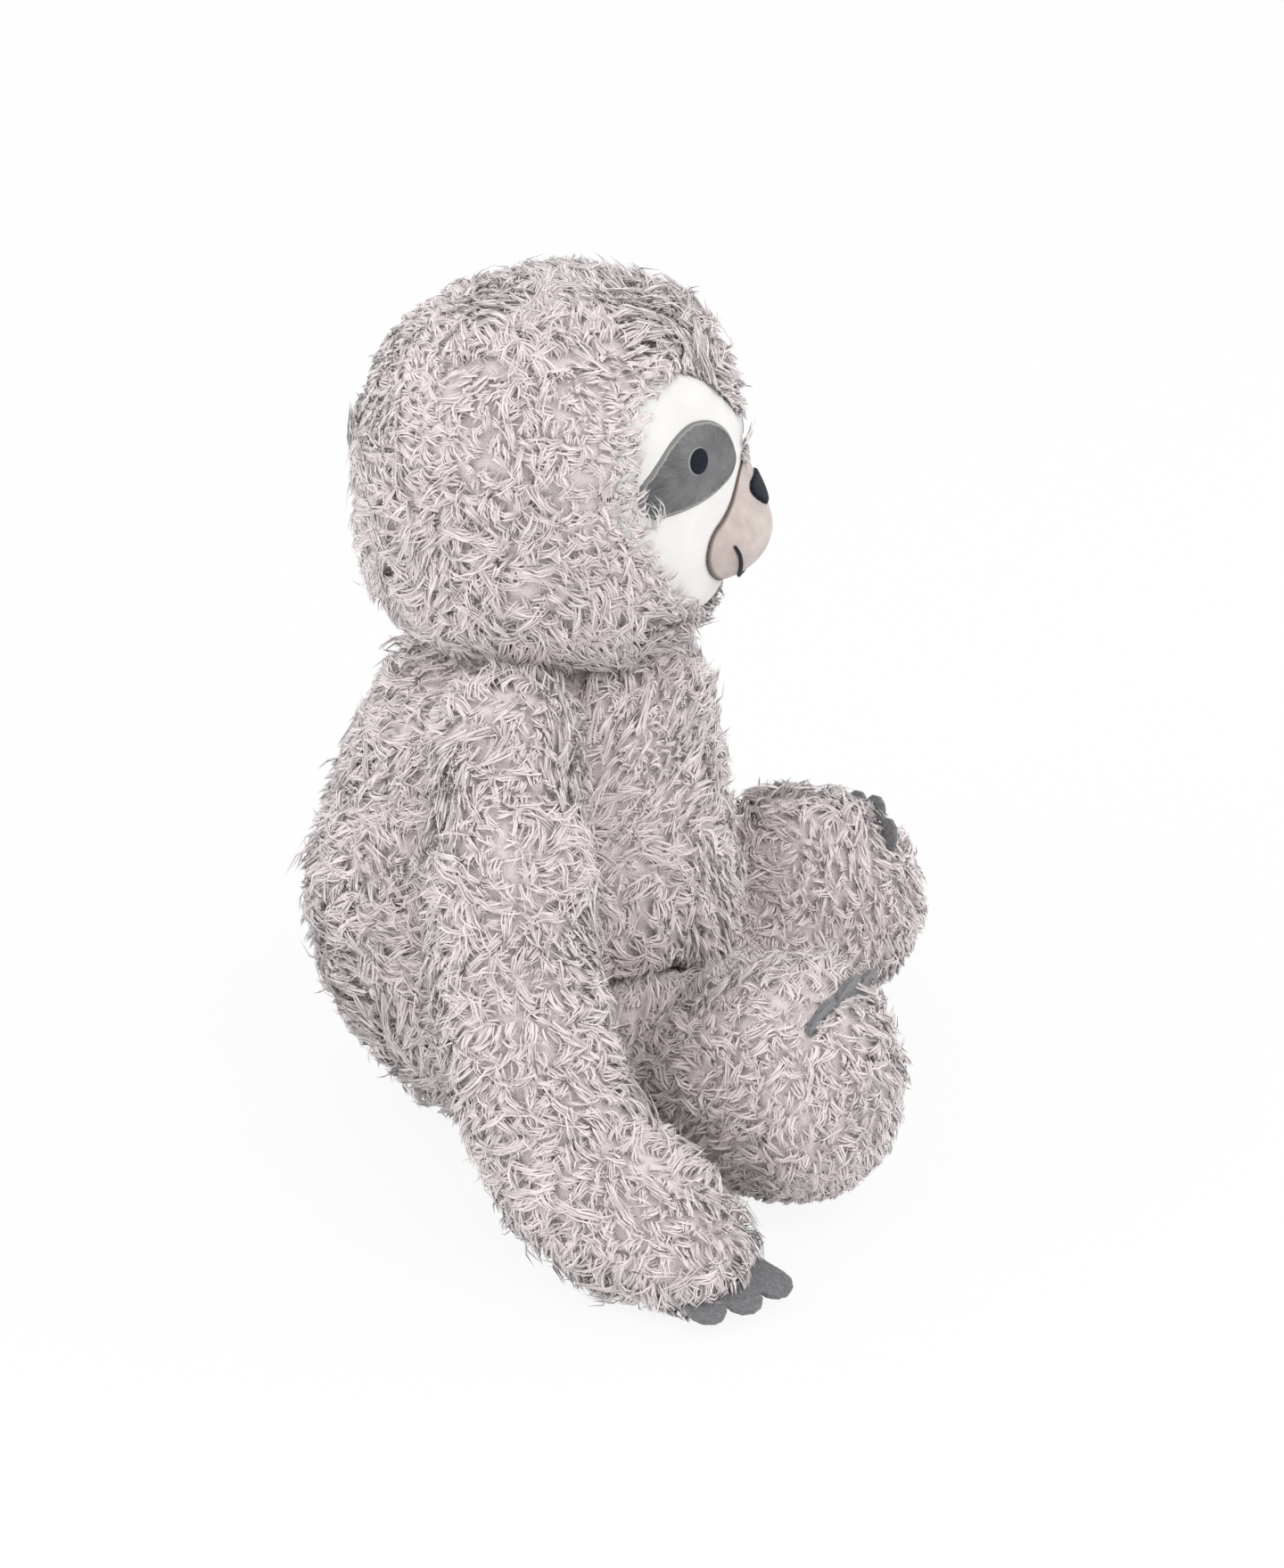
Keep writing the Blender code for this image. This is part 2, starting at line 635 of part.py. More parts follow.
def mouth_thread():
    """The smile: one thick thread laid on the muzzle."""
    line = []
    for step in range(MOUTH_STEP_COUNT + 1):
        share = 2 * step / MOUTH_STEP_COUNT - 1
        bow = abs(share) ** MOUTH_POWER
        rise = MOUTH_BOTTOM_SHARE + (MOUTH_END_SHARE - MOUTH_BOTTOM_SHARE) * bow
        x, z = muzzle_point(MOUTH_WIDTH_SHARE * share, rise)
        line.append(off_muzzle(x, z, FABRIC_GAP + MOUTH_THREAD_RADIUS))
    rings = []
    for step, point in enumerate(line):
        way = (line[min(step + 1, MOUTH_STEP_COUNT)] - line[max(step - 1, 0)]).normalized()
        level = UP.cross(way).normalized()
        rings.append(ring(point, level, way.cross(level), MOUTH_THREAD_RADIUS,
                          MOUTH_THREAD_RADIUS, THREAD_SIDE_COUNT))
    first_end = line[0] - (line[1] - line[0]).normalized() * MOUTH_THREAD_RADIUS
    last_end = line[-1] + (line[-1] - line[-2]).normalized() * MOUTH_THREAD_RADIUS
    return loft(rings, first_end, last_end)


def edge_points(half, out, count):
    """Points spaced evenly along a level edge, from its left end to its right one."""
    return [(half * (2 * step / count - 1), out) for step in range(count + 1)]


def lobed_outline(length, root, spread, round_share):
    """Felt claws laid flat: a root and round lobes, as x along and y out."""
    points = []
    pitch = spread / LOBE_COUNT
    roundness = length * round_share
    for lobe in range(LOBE_COUNT):
        middle = pitch * (lobe + 0.5) - spread / 2
        for step in range(LOBE_STEP_COUNT + 1):
            angle = math.pi * (1 - step / LOBE_STEP_COUNT)
            points.append((middle + pitch / 2 * math.cos(angle),
                           length - roundness + roundness * math.sin(angle)))
    return points + edge_points(-spread / 2, -root, ROOT_STEP_COUNT)


def slot_outline(length, root, spread):
    """The slit that takes the root of a row of felt claws."""
    half, low = spread / 2 + FABRIC_GAP, -root - FABRIC_GAP
    return edge_points(half, length, ROOT_STEP_COUNT) + edge_points(-half, low, ROOT_STEP_COUNT)


def arched(outline, radius):
    """A flat outline bent down at both ends, so that its roots lie on a round edge."""
    points = []
    for along, out in outline:
        angle = along / radius
        points.append(((radius + out) * math.sin(angle), (radius + out) * math.cos(angle) - radius))
    return points


def felt(outline, frame, extra=0.0):
    """A sheet of felt of a given outline, placed by a frame and thickened on both sides."""
    bm = bmesh.new()
    low, high = [], []
    for x, y in outline:
        if low and (low[-1].co - Vector((x, y, -extra))).length < FABRIC_GAP:
            continue
        low.append(bm.verts.new((x, y, -extra)))
        high.append(bm.verts.new((x, y, FELT_THICKNESS + extra)))
    for step in range(len(low)):
        after = (step + 1) % len(low)
        bm.faces.new((low[step], low[after], high[after], high[step]))
    bm.faces.new(low)
    bm.faces.new(high)
    bmesh.ops.transform(bm, matrix=frame, verts=bm.verts)
    return bm


def frame_of(origin, out, normal):
    """A frame whose y points out and whose z is a given normal."""
    out = out.normalized()
    normal = (normal - out * normal.dot(out)).normalized()
    turn = Matrix((out.cross(normal), out, normal)).transposed().to_4x4()
    return Matrix.Translation(origin) @ turn


def hand_felt(slot=False, side=1):
    """The felt claws of the left hand, or the slit in the hand that takes them."""
    line = arm_line()
    way = (line[-1] - line[-2]).normalized()
    tip = line[-1] + way * (ARM_RADIUS * ARM_LINE_SHARES[-1][-1] - FELT_THICKNESS)
    frame = frame_of(tip - UP * (FELT_THICKNESS * 2), Vector(HAND_CLAW_WAY_SHARES), UP)
    sizes = HAND_CLAW_LENGTH, HAND_CLAW_ROOT, ARM_RADIUS * HAND_CLAW_SPREAD_SHARE
    radius = ARM_RADIUS * HAND_CLAW_ARCH_SHARE
    if slot:
        return felt(arched(slot_outline(*sizes), radius), frame, FABRIC_GAP)
    return felt(arched(lobed_outline(*sizes, HAND_CLAW_ROUND_SHARE), radius), frame)


def foot_felt(slot=False, side=1):
    """The felt claws of a foot, or the slit in the foot that takes them."""
    reach, _, _, *tops = LEG_SECTION_SHARES[FOOT_CLAW_SECTION_COUNT]
    high = tops[LEG_TOP_COLUMNS[side]]
    top = Vector((HIP_PIVOT.x, HIP_PIVOT.y, FOOT_HEIGHT * high)) + LEG_WAY * (LEG_REACH * reach)
    frame = frame_of(top - UP * FELT_THICKNESS, LEG_WAY * FOOT_CLAW_LEAN_SHARE + UP, LEG_WAY)
    sizes = FOOT_CLAW_LENGTH, FOOT_CLAW_ROOT, FOOT_HEIGHT * FOOT_CLAW_SPREAD_SHARE
    radius = LEG_HALF_WIDTH * FOOT_CLAW_ARCH_SHARE
    if slot:
        return felt(arched(slot_outline(*sizes), radius), frame, FABRIC_GAP)
    return felt(arched(lobed_outline(*sizes, FOOT_CLAW_ROUND_SHARE), radius), frame)


def pellet_bag(extra):
    """The pellet bag, slumped flat on the seat."""
    half_width = TORSO_HALF_WIDTH * BAG_SHARES[0]
    half_depth = TORSO_HALF_DEPTH * BAG_SHARES[1]
    half_height = SHOULDER_HEIGHT * BAG_SHARES[2]
    centre = (0, TORSO_HALF_DEPTH * BAG_BACKWARD_SHARE,
              COVER_THICKNESS + half_height * BAG_SLUMP_SHARE)
    bm = add_ball(bmesh.new(), (0, 0, 0), 1, BAG_SIDE_COUNT)
    bmesh.ops.scale(bm, verts=bm.verts,
                    vec=(half_width + extra, half_depth + extra, half_height + extra))
    bmesh.ops.translate(bm, verts=bm.verts, vec=centre)
    floor = (0, 0, COVER_THICKNESS + FILLING_GAP - extra)
    parts = bm.verts[:] + bm.edges[:] + bm.faces[:]
    bmesh.ops.bisect_plane(bm, geom=parts, plane_co=floor, plane_no=-UP, clear_outer=True)
    rim = [edge for edge in bm.edges if edge.is_boundary]
    bmesh.ops.contextual_create(bm, geom=rim)
    return bm


def neck_ring():
    """The ring of thread that sews the head on, seated on the round top of the body."""
    seat = NECK_DOME_RADIUS + FABRIC_GAP + NECK_THREAD_RADIUS
    middle = NECK_PIVOT + UP * math.sqrt(seat ** 2 - NECK_SEAM_RADIUS ** 2)
    bm = bmesh.new()
    rows = []
    for step in range(BODY_SIDE_COUNT):
        angle = math.tau * step / BODY_SIDE_COUNT
        out = Vector((math.cos(angle), math.sin(angle), 0))
        rows.append([bm.verts.new(point) for point in ring(
            middle + out * NECK_SEAM_RADIUS, out, UP, NECK_THREAD_RADIUS, NECK_THREAD_RADIUS,
            THREAD_SIDE_COUNT)])
    for row, after in zip(rows, rows[1:] + rows[:1]):
        for k in range(THREAD_SIDE_COUNT):
            beyond = (k + 1) % THREAD_SIDE_COUNT
            bm.faces.new((row[k], row[beyond], after[beyond], after[k]))
    return bm


def prism(outline, back, front):
    """A block whose section in the front view is a given outline."""
    bm = bmesh.new()
    far = [bm.verts.new((x, back, z)) for x, z in outline]
    near = [bm.verts.new((x, front, z)) for x, z in outline]
    for step in range(len(outline)):
        after = (step + 1) % len(outline)
        bm.faces.new((far[step], far[after], near[after], near[step]))
    bm.faces.new(far)
    bm.faces.new(near)
    return bm


def build_torso(finishes):
    """Body: fur cover, its filling and the pellet bag."""
    cover = place("torso_cover", torso_skin(), finishes["fur"])
    cut(cover, place("torso_sockets", joint_balls(SOCKET_CLEARANCE, SOCKET_SIDE_COUNT)))
    inside = place("torso_inside", grow(torso_skin(coarse=True), -COVER_THICKNESS))
    wall = SOCKET_CLEARANCE + COVER_THICKNESS
    cut(inside, place("torso_inside_sockets", joint_balls(wall, INNER_SOCKET_SIDE_COUNT)))
    cut(cover, inside)
    low = NECK_PIVOT + UP * (NECK_DOME_RADIUS - CUT_OVERRUN)
    top = NECK_PIVOT + UP * (NECK_DOME_RADIUS + CUT_OVERRUN)
    hole = rod(low, top, STUFFING_HOLE_RADIUS, LIMB_SIDE_COUNT)
    cut(cover, place("torso_stuffing_hole", hole))

    depth = COVER_THICKNESS + FILLING_GAP
    filling = place("torso_filling", grow(torso_skin(coarse=True), -depth), finishes["filling"])
    balls = joint_balls(SOCKET_CLEARANCE + depth, INNER_SOCKET_SIDE_COUNT)
    cut(filling, place("torso_filling_sockets", balls))
    cut(filling, place("bag_space", pellet_bag(FILLING_GAP * 2)))
    place("seat_pellet_bag", pellet_bag(0), finishes["pellets"])


def build_head(finishes):
    """Head: fur cover, filling and the ring of thread at the neck."""
    cover = place("head_cover", head_skin(), finishes["fur"])
    dome = NECK_DOME_RADIUS + NECK_CLEARANCE
    cut(cover, place("neck_socket", add_ball(bmesh.new(), NECK_PIVOT, dome, NECK_SIDE_COUNT)))
    low = NECK_PIVOT + UP * (NECK_DOME_RADIUS / 2)
    top = NECK_PIVOT + UP * NECK_DOME_RADIUS
    hole_radius = NECK_SEAM_RADIUS + NECK_THREAD_RADIUS + FABRIC_GAP * 2
    cut(cover, place("neck_opening", rod(low, top, hole_radius, BODY_SIDE_COUNT)))
    cut(cover, place("head_inside", grow(head_skin(coarse=True), -COVER_THICKNESS)))
    opening = toward(face_outline(), face_centre(), 1, -FABRIC_GAP)
    front = -HEAD_FORWARD - HEAD_HALF_DEPTH - CUT_OVERRUN
    cut(cover, place("face_opening", prism(opening, -HEAD_FORWARD, front)))

    depth = COVER_THICKNESS + FILLING_GAP
    filling = place("head_filling", grow(head_skin(coarse=True), -depth), finishes["filling"])
    over_thread = NECK_DOME_RADIUS + NECK_THREAD_RADIUS * 2 + NECK_CLEARANCE
    cut(filling, place("neck_hollow",
                       add_ball(bmesh.new(), NECK_PIVOT, over_thread, BODY_SIDE_COUNT)))
    thread = place("neck_seam", neck_ring(), finishes["thread"])
    return [cover, filling, thread]


def build_face(finishes):
    """White face panel, eye patches and pupils."""
    panel = patch(face_outline(), face_centre(), FACE_RING_COUNT,
                  lambda x, z: on_head(x, z, -FACE_SINK),
                  lambda x, z: on_head(x, z, FACE_RAISE))
    pieces = [place("face_panel", panel, finishes["white"])]
    eye_back = FACE_RAISE + FABRIC_GAP
    eye_front = eye_back + EYE_PATCH_THICKNESS
    pupil_back = eye_front + FABRIC_GAP
    outline = [eye_point(*shares) for shares in EYE_PATCH_SHARES]
    for word, side in SIDES.items():
        eye = patch(outline, eye_point(*EYE_MIDDLE_SHARES), EYE_RING_COUNT,
                    lambda x, z: on_head(x, z, eye_back),
                    lambda x, z: on_head(x, z, eye_front))
        pieces.append(place(f"eye_patch_{word}", eye, finishes["grey"], side))
        pupil = patch(pupil_outline(), face_point(*PUPIL_SHARES), 1,
                      lambda x, z: on_head(x, z, pupil_back),
                      lambda x, z: on_head(x, z, pupil_back + PUPIL_THICKNESS))
        pieces.append(place(f"pupil_{word}", pupil, finishes["black"], side))
    return pieces


def build_muzzle(finishes):
    """Padded muzzle with its filling, the nose and the stitched mouth."""
    centre = muzzle_centre()
    shell = muzzle_rings(0) + [muzzle_foot(MUZZLE_CLOTH)]
    shell += list(reversed(muzzle_rings(MUZZLE_CLOTH)))
    cover = loft(shell, muzzle_front(*centre), muzzle_front(*centre, MUZZLE_CLOTH))

    inset = MUZZLE_CLOTH + FILLING_GAP
    heart = muzzle_rings(inset)
    heart += [muzzle_foot(inset, 1 - band / MUZZLE_BACK_RING_COUNT)
              for band in range(MUZZLE_BACK_RING_COUNT)]
    back = on_head(*centre, FACE_RAISE + FABRIC_GAP)
    filling = loft(heart, muzzle_front(*centre, inset), back)

    outline = [muzzle_point(NOSE_WIDTH_SHARE * x, NOSE_BOTTOM_SHARE + NOSE_HEIGHT_SHARE * z)
               for x, z in NOSE_OUTLINE_SHARES]
    middle = muzzle_point(0, NOSE_BOTTOM_SHARE + NOSE_HEIGHT_SHARE * NOSE_MIDDLE_SHARE)
    nose = patch(mirrored(outline), middle, PATCH_RING_COUNT,
                 lambda x, z: off_muzzle(x, z, FABRIC_GAP),
                 lambda x, z: off_muzzle(x, z, FABRIC_GAP + NOSE_THICKNESS))
    return [place("muzzle_cover", cover, finishes["taupe"]),
            place("muzzle_filling", filling, finishes["filling"]),
            place("nose_patch", nose, finishes["black"]),
            place("mouth_stitch", mouth_thread(), finishes["black"])]


def build_limb(name, word, skin, claws, claw_name, pivot, way, radius, finishes):
    """One stuffed limb with its felt claws and a hole in its ball for the stuffing."""
    side = SIDES[word]
    cover = place(f"{name}_cover_{word}", skin(side=side), finishes["fur"], side)
    inside = skin(True, COVER_THICKNESS, side)
    cut(cover, place(f"{name}_inside_{word}", inside, None, side))
    start = pivot - way * (radius + CUT_OVERRUN)
    end = pivot - way * (radius - CUT_OVERRUN)
    hole = rod(start, end, STUFFING_HOLE_RADIUS, LIMB_SIDE_COUNT)
    cut(cover, place(f"{name}_stuffing_hole_{word}", hole, None, side))
    slot = place(f"{name}_claw_slot_{word}", claws(True, side), None, side)
    cut(cover, slot)
    stuffing = skin(True, COVER_THICKNESS + FILLING_GAP, side)
    filling = place(f"{name}_filling_{word}", stuffing, finishes["filling"], side)
    cut(filling, slot)
    row = place(f"{claw_name}_{word}", claws(side=side), finishes["felt"], side)
    for item in (cover, filling, row):
        set_origin(item, (pivot.x * side, pivot.y, pivot.z))


def main():
    """Build the whole sloth."""
    clear_scene()
    finishes = {name: material(name, colour, roughness)
                for name, (colour, roughness) in FINISHES.items()}
    build_torso(finishes)
    for item in build_head(finishes) + build_face(finishes) + build_muzzle(finishes):
        set_origin(item, NECK_PIVOT)
    for word in SIDES:
        build_limb("arm", word, arm_skin, hand_felt, "hand_claws", SHOULDER_PIVOT, arm_way(),
                   SHOULDER_BALL_RADIUS, finishes)
        build_limb("leg", word, leg_skin, foot_felt, "foot_claws", HIP_PIVOT, LEG_WAY,
                   HIP_BALL_RADIUS, finishes)


if __name__ == "__main__":
    main()
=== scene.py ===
"""Looks of a sitting plush sloth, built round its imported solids.

Every stuffed part has a padded skin made from its solids and a coat of soft curly locks
rooted in that skin. The face, eyes, muzzle, nose, mouth and felt claws are sewn pieces of
their own. Metres, +Z up; the sloth faces -Y and its own left side is at +X.
"""

import json
import logging
import math
from collections.abc import Callable
from dataclasses import dataclass
from enum import Enum

import bmesh
import bpy
import numpy as np
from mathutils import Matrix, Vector
from mathutils.bvhtree import BVHTree
from mathutils.kdtree import KDTree

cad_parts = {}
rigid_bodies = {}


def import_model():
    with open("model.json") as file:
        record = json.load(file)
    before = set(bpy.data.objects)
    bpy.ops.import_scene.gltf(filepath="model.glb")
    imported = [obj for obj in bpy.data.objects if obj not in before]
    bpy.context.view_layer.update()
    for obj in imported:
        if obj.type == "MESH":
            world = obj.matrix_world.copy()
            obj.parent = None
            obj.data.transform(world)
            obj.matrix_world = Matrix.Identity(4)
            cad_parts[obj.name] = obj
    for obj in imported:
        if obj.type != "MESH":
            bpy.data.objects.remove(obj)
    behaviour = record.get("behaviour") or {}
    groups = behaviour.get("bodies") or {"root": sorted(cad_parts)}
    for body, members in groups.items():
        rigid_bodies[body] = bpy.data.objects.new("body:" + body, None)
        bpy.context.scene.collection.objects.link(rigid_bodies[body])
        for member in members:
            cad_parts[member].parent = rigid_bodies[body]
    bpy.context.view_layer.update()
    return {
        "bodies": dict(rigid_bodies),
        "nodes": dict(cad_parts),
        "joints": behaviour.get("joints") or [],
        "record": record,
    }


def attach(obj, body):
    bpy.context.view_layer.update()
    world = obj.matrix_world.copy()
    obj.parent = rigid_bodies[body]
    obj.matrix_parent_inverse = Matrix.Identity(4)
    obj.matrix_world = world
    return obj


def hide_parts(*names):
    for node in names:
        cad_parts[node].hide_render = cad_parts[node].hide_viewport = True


log = logging.getLogger("sloth")

Points = np.ndarray
Colour = tuple[float, float, float]
Outline = list[tuple[float, float]]


class Side(Enum):
    """One of the sloth's own sides, as the sign of its X."""

    LEFT = 1
    RIGHT = -1

    @property
    def word(self) -> str:
        """The side as it is written in names."""
        return self.name.lower()


class Bench:
    """Steps of modelling by hand that several pieces share."""

    @staticmethod
    def take(piece: bpy.types.Object) -> None:
        """Make a piece the only selected one and the active one."""
        bpy.ops.object.select_all(action="DESELECT")
        piece.select_set(True)
        bpy.context.view_layer.objects.active = piece

    @staticmethod
    def apply_modifiers(piece: bpy.types.Object) -> None:
        """Apply every modifier of a piece, first to last."""
        Bench.take(piece)
        for step in list(piece.modifiers):
            bpy.ops.object.modifier_apply(modifier=step.name)

    @staticmethod
    def linked(name: str, data: bpy.types.ID) -> bpy.types.Object:
        """A new object in the scene that holds the data."""
        piece = bpy.data.objects.new(name, data)
        bpy.context.scene.collection.objects.link(piece)
        return piece

    @staticmethod
    def turn_outward(piece: bpy.types.Object) -> None:
        """Turn the faces of the active piece outward and shade it smooth."""
        bpy.ops.object.mode_set(mode="EDIT")
        bpy.ops.mesh.select_all(action="SELECT")
        bpy.ops.mesh.normals_make_consistent(inside=False)
        bpy.ops.object.mode_set(mode="OBJECT")
        Bench.smooth(piece)

    @staticmethod
    def smooth(piece: bpy.types.Object, angle: float = math.radians(60)) -> None:
        """Shade a piece smooth.

        Args:
            piece: The mesh object.
            angle: Edges bent by more than this stay sharp.
        """
        Bench.take(piece)
        bpy.ops.object.shade_smooth_by_angle(angle=angle)

    @staticmethod
    def joined_copy(frame: dict, nodes: tuple[str, ...], name: str) -> bpy.types.Object:
        """Copy solids into one new mesh object.

        Args:
            nodes: Names of the solids.
            name: Name of the new object.

        Returns:
            The new object, its loose triangles merged.
        """
        bm = bmesh.new()
        for node in nodes:
            bm.from_mesh(frame["nodes"][node].data)
        bmesh.ops.remove_doubles(bm, verts=bm.verts, dist=1e-6)
        mesh = bpy.data.meshes.new(name)
        bm.to_mesh(mesh)
        bm.free()
        return Bench.linked(name, mesh)

    @staticmethod
    def soft_copy(frame: dict, nodes: tuple[str, ...], name: str, voxel: float,
                  rounds: int) -> bpy.types.Object:
        """Copy solids as one closed rounded skin.

        Args:
            nodes: Names of the solids.
            name: Name of the new object.
            voxel: Size of the remesh.
            rounds: How often it is smoothed.

        Returns:
            The new object.
        """
        skin = Bench.joined_copy(frame, nodes, name)
        shape = skin.modifiers.new("one_skin", "REMESH")
        shape.mode = "VOXEL"
        shape.voxel_size = voxel
        soft = skin.modifiers.new("soft", "SMOOTH")
        soft.factor = 0.5
        soft.iterations = rounds
        Bench.apply_modifiers(skin)
        return skin

    @staticmethod
    def shaped_ball(name: str, around: int, rings: int,
                    place: Callable[[float, float, bool], Vector]) -> bpy.types.Object:
        """Shape a ball into a closed sewn piece.

        Args:
            name: Name of the piece.
            around: Segments round the ball.
            rings: Rings from its back pole to its front pole.
            place: Where a point goes, from its share round the ball, its share of the way
                in from the equator to a pole, and whether it lies on the front half.

        Returns:
            The piece.
        """
        bpy.ops.object.select_all(action="DESELECT")
        bpy.ops.mesh.primitive_uv_sphere_add(segments=around, ring_count=rings, radius=1)
        piece = bpy.context.active_object
        piece.name = piece.data.name = name
        for vert in piece.data.vertices:
            x, y, z = vert.co
            turn = math.atan2(y, x) / math.tau % 1
            inward = abs(math.asin(max(-1, min(1, z)))) / (math.pi / 2)
            vert.co = place(turn, inward, z >= 0)
        Bench.turn_outward(piece)
        return piece

    @staticmethod
    def points_of(piece: bpy.types.Object) -> Points:
        """The vertices of a mesh object as an array of N rows."""
        flat = np.zeros(len(piece.data.vertices) * 3, np.float32)
        piece.data.vertices.foreach_get("co", flat)
        return flat.reshape(-1, 3).astype(float)

    @staticmethod
    def paint(mesh: bpy.types.Mesh, name: str, values: Points) -> None:
        """Store one number for each vertex."""
        layer = mesh.attributes.new(name, "FLOAT", "POINT")
        layer.data.foreach_set("value", np.asarray(values, np.float32))

    @staticmethod
    def finish(piece: bpy.types.Object, material: bpy.types.Material, body: str, slot: str,
               replaced: tuple[str, ...] = ()) -> None:
        """Give a piece its material and its body.

        Args:
            piece: The piece.
            material: Its material.
            body: The body that it rides on.
            slot: The record's slot; not used.
            replaced: Solids that it stands for.
        """
        piece.data.materials.clear()
        piece.data.materials.append(material)
        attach(piece, body)
        if replaced:
            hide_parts(*replaced)
        log.info("%s: %d faces", piece.name, len(piece.data.polygons))


class Shader:
    """Builds one node material step by step."""

    def __init__(self, name: str) -> None:
        """Start a material.

        Args:
            name: The material's name.
        """
        self.material = bpy.data.materials.new(name)
        self.material.use_nodes = True
        self.nodes = self.material.node_tree.nodes
        self.links = self.material.node_tree.links
        self.surface = self.nodes["Principled BSDF"]

    def add(self, kind: str, **settings: object) -> bpy.types.Node:
        """Add a node.

        Args:
            kind: The node's type without the words ShaderNode.
            **settings: Its properties.

        Returns:
            The node.
        """
        node = self.nodes.new("ShaderNode" + kind)
        for key, value in settings.items():
            setattr(node, key, value)
        return node

    def feed(self, target: bpy.types.NodeSocket, source: object) -> None:
        """Give a socket a link or a plain value."""
        if isinstance(source, bpy.types.NodeSocket):
            self.links.new(source, target)
        else:
            target.default_value = source

    def attribute(self, name: str) -> bpy.types.NodeSocket:
        """The number that a mesh attribute holds."""
        return self.add("Attribute", attribute_name=name).outputs["Fac"]

    def place(self) -> bpy.types.NodeSocket:
        """Object coordinates, in metres."""
        return self.add("TexCoord").outputs["Object"]

    def flat_place(self, first: str, second: str, scales: tuple[float, float]
                   ) -> bpy.types.NodeSocket:
        """A flat place made of two attributes, each multiplied by a scale."""
        node = self.add("CombineXYZ")
        for socket, name, scale in zip(("X", "Y"), (first, second), scales):
            self.feed(node.inputs[socket], self.sum(self.attribute(name), scale, "MULTIPLY"))
        return node.outputs["Vector"]

    def noise(self, per_metre: float, detail: float = 3.0, rough: float = 0.5,
              place: bpy.types.NodeSocket | None = None) -> bpy.types.NodeSocket:
        """A noise pattern from 0 to 1.

        Args:
            per_metre: Its number of waves in a metre.
            detail: Its octaves.
            rough: The strength of the finer octaves.
            place: Where it is read, or None for Object coordinates.

        Returns:
            The pattern.
        """
        node = self.add("TexNoise")
        self.feed(node.inputs["Vector"], place or self.place())
        node.inputs["Scale"].default_value = per_metre
        node.inputs["Detail"].default_value = detail
        node.inputs["Roughness"].default_value = rough
        return node.outputs["Fac"]

    def span(self, value: object, low: float, high: float,
             to_low: float = 0.0, to_high: float = 1.0) -> bpy.types.NodeSocket:
        """Map a number from one range to another, kept inside the second."""
        node = self.add("MapRange", clamp=True)
        self.feed(node.inputs["Value"], value)
        for socket, number in zip(("From Min", "From Max", "To Min", "To Max"),
                                  (low, high, to_low, to_high)):
            node.inputs[socket].default_value = number
        return node.outputs["Result"]

    def sum(self, first: object, second: object, operation: str = "ADD"
            ) -> bpy.types.NodeSocket:
        """Two numbers put together by an operation."""
        node = self.add("Math", operation=operation)
        self.feed(node.inputs[0], first)
        self.feed(node.inputs[1], second)
        return node.outputs["Value"]

    def ramp(self, value: object, *stops: tuple[float, Colour]) -> bpy.types.NodeSocket:
        """A colour that follows a number through several stops."""
        node = self.add("ValToRGB")
        line = node.color_ramp.elements
        while len(line) < len(stops):
            line.new(0.5)
        for element, (at, colour) in zip(line, stops):
            element.position = at
            element.color = (*colour, 1)
        self.feed(node.inputs["Fac"], value)
        return node.outputs["Color"]

    def blended(self, share: object, first: object, second: object) -> bpy.types.NodeSocket:
        """Two colours blended by a share of the second."""
        node = self.add("Mix", data_type="RGBA")
        self.feed(node.inputs["Factor"], share)
        self.feed(node.inputs[6], first)
        self.feed(node.inputs[7], second)
        return node.outputs[2]

    def bump(self, height: object, depth: float, strength: float = 1.0) -> None:
        """Raise the surface by a pattern.

        Args:
            height: The pattern, from 0 to 1.
            depth: Its height in metres.
            strength: How strongly it shows.
        """
        node = self.add("Bump")
        node.inputs["Distance"].default_value = depth
        node.inputs["Strength"].default_value = strength
        self.feed(node.inputs["Height"], height)
        self.feed(self.surface.inputs["Normal"], node.outputs["Normal"])

    def cloth(self, colour: object, rough: float, sheen: float,
              gloss: float = 0.2) -> bpy.types.Material:
        """Finish the material as cloth.

        Args:
            colour: A colour link.
            rough: Roughness.
            sheen: Weight of the soft light that fine fibres catch.
            gloss: Specular level.

        Returns:
            The material.
        """
        self.feed(self.surface.inputs["Base Color"], colour)
        self.surface.inputs["Roughness"].default_value = rough
        self.surface.inputs["Specular IOR Level"].default_value = gloss
        self.surface.inputs["Sheen Weight"].default_value = sheen
        self.surface.inputs["Sheen Roughness"].default_value = 0.5
        return self.material


@dataclass(frozen=True)
class PileFinish:
    """Long curly pile: painted shade in creases, roots painted lighter than tips, a tone for each
    lock.
    """

    name: str = "curly_pile"
    # Painted shade: the colour of locks in creases beside other parts.
    deep: Colour = (0.55, 0.475, 0.475)
    # Painted light: the roots are lighter than the tips, lifting the shade between the locks.
    root: Colour = (0.97, 0.875, 0.875)
    middle: Colour = (0.915, 0.820, 0.820)
    tip: Colour = (0.885, 0.796, 0.796)
    sheen: float = 0.35

    def make(self) -> bpy.types.Material:
        """The material."""
        shader = Shader(self.name)
        # Painted shade in creases lowers the shade value towards the dark crease colour.
        shade = shader.span(shader.attribute("shade"), -1, 1, -0.75, 0.20)
        along = shader.span(shader.attribute("along"), 0, 1, 0.25, 1)
        colour = shader.ramp(shader.sum(along, shade), (0.0, self.deep), (0.25, self.root),
                             (0.60, self.middle), (1.0, self.tip))
        return shader.cloth(colour, 0.7, self.sheen)


@dataclass(frozen=True)
class GrainFinish:
    """Plain fibres: one fine noise gives both the colour and the relief."""

    name: str
    low: Colour
    high: Colour
    noise: tuple[float, float, float]
    relief: tuple[float, float]
    stops: tuple[float, float]
    rough: float
    sheen: float

    def make(self) -> bpy.types.Material:
        """The material."""
        shader = Shader(self.name)
        grain = shader.noise(*self.noise)
        shader.bump(grain, *self.relief)
        colour = shader.ramp(grain, (self.stops[0], self.low), (self.stops[1], self.high))
        return shader.cloth(colour, self.rough, self.sheen)
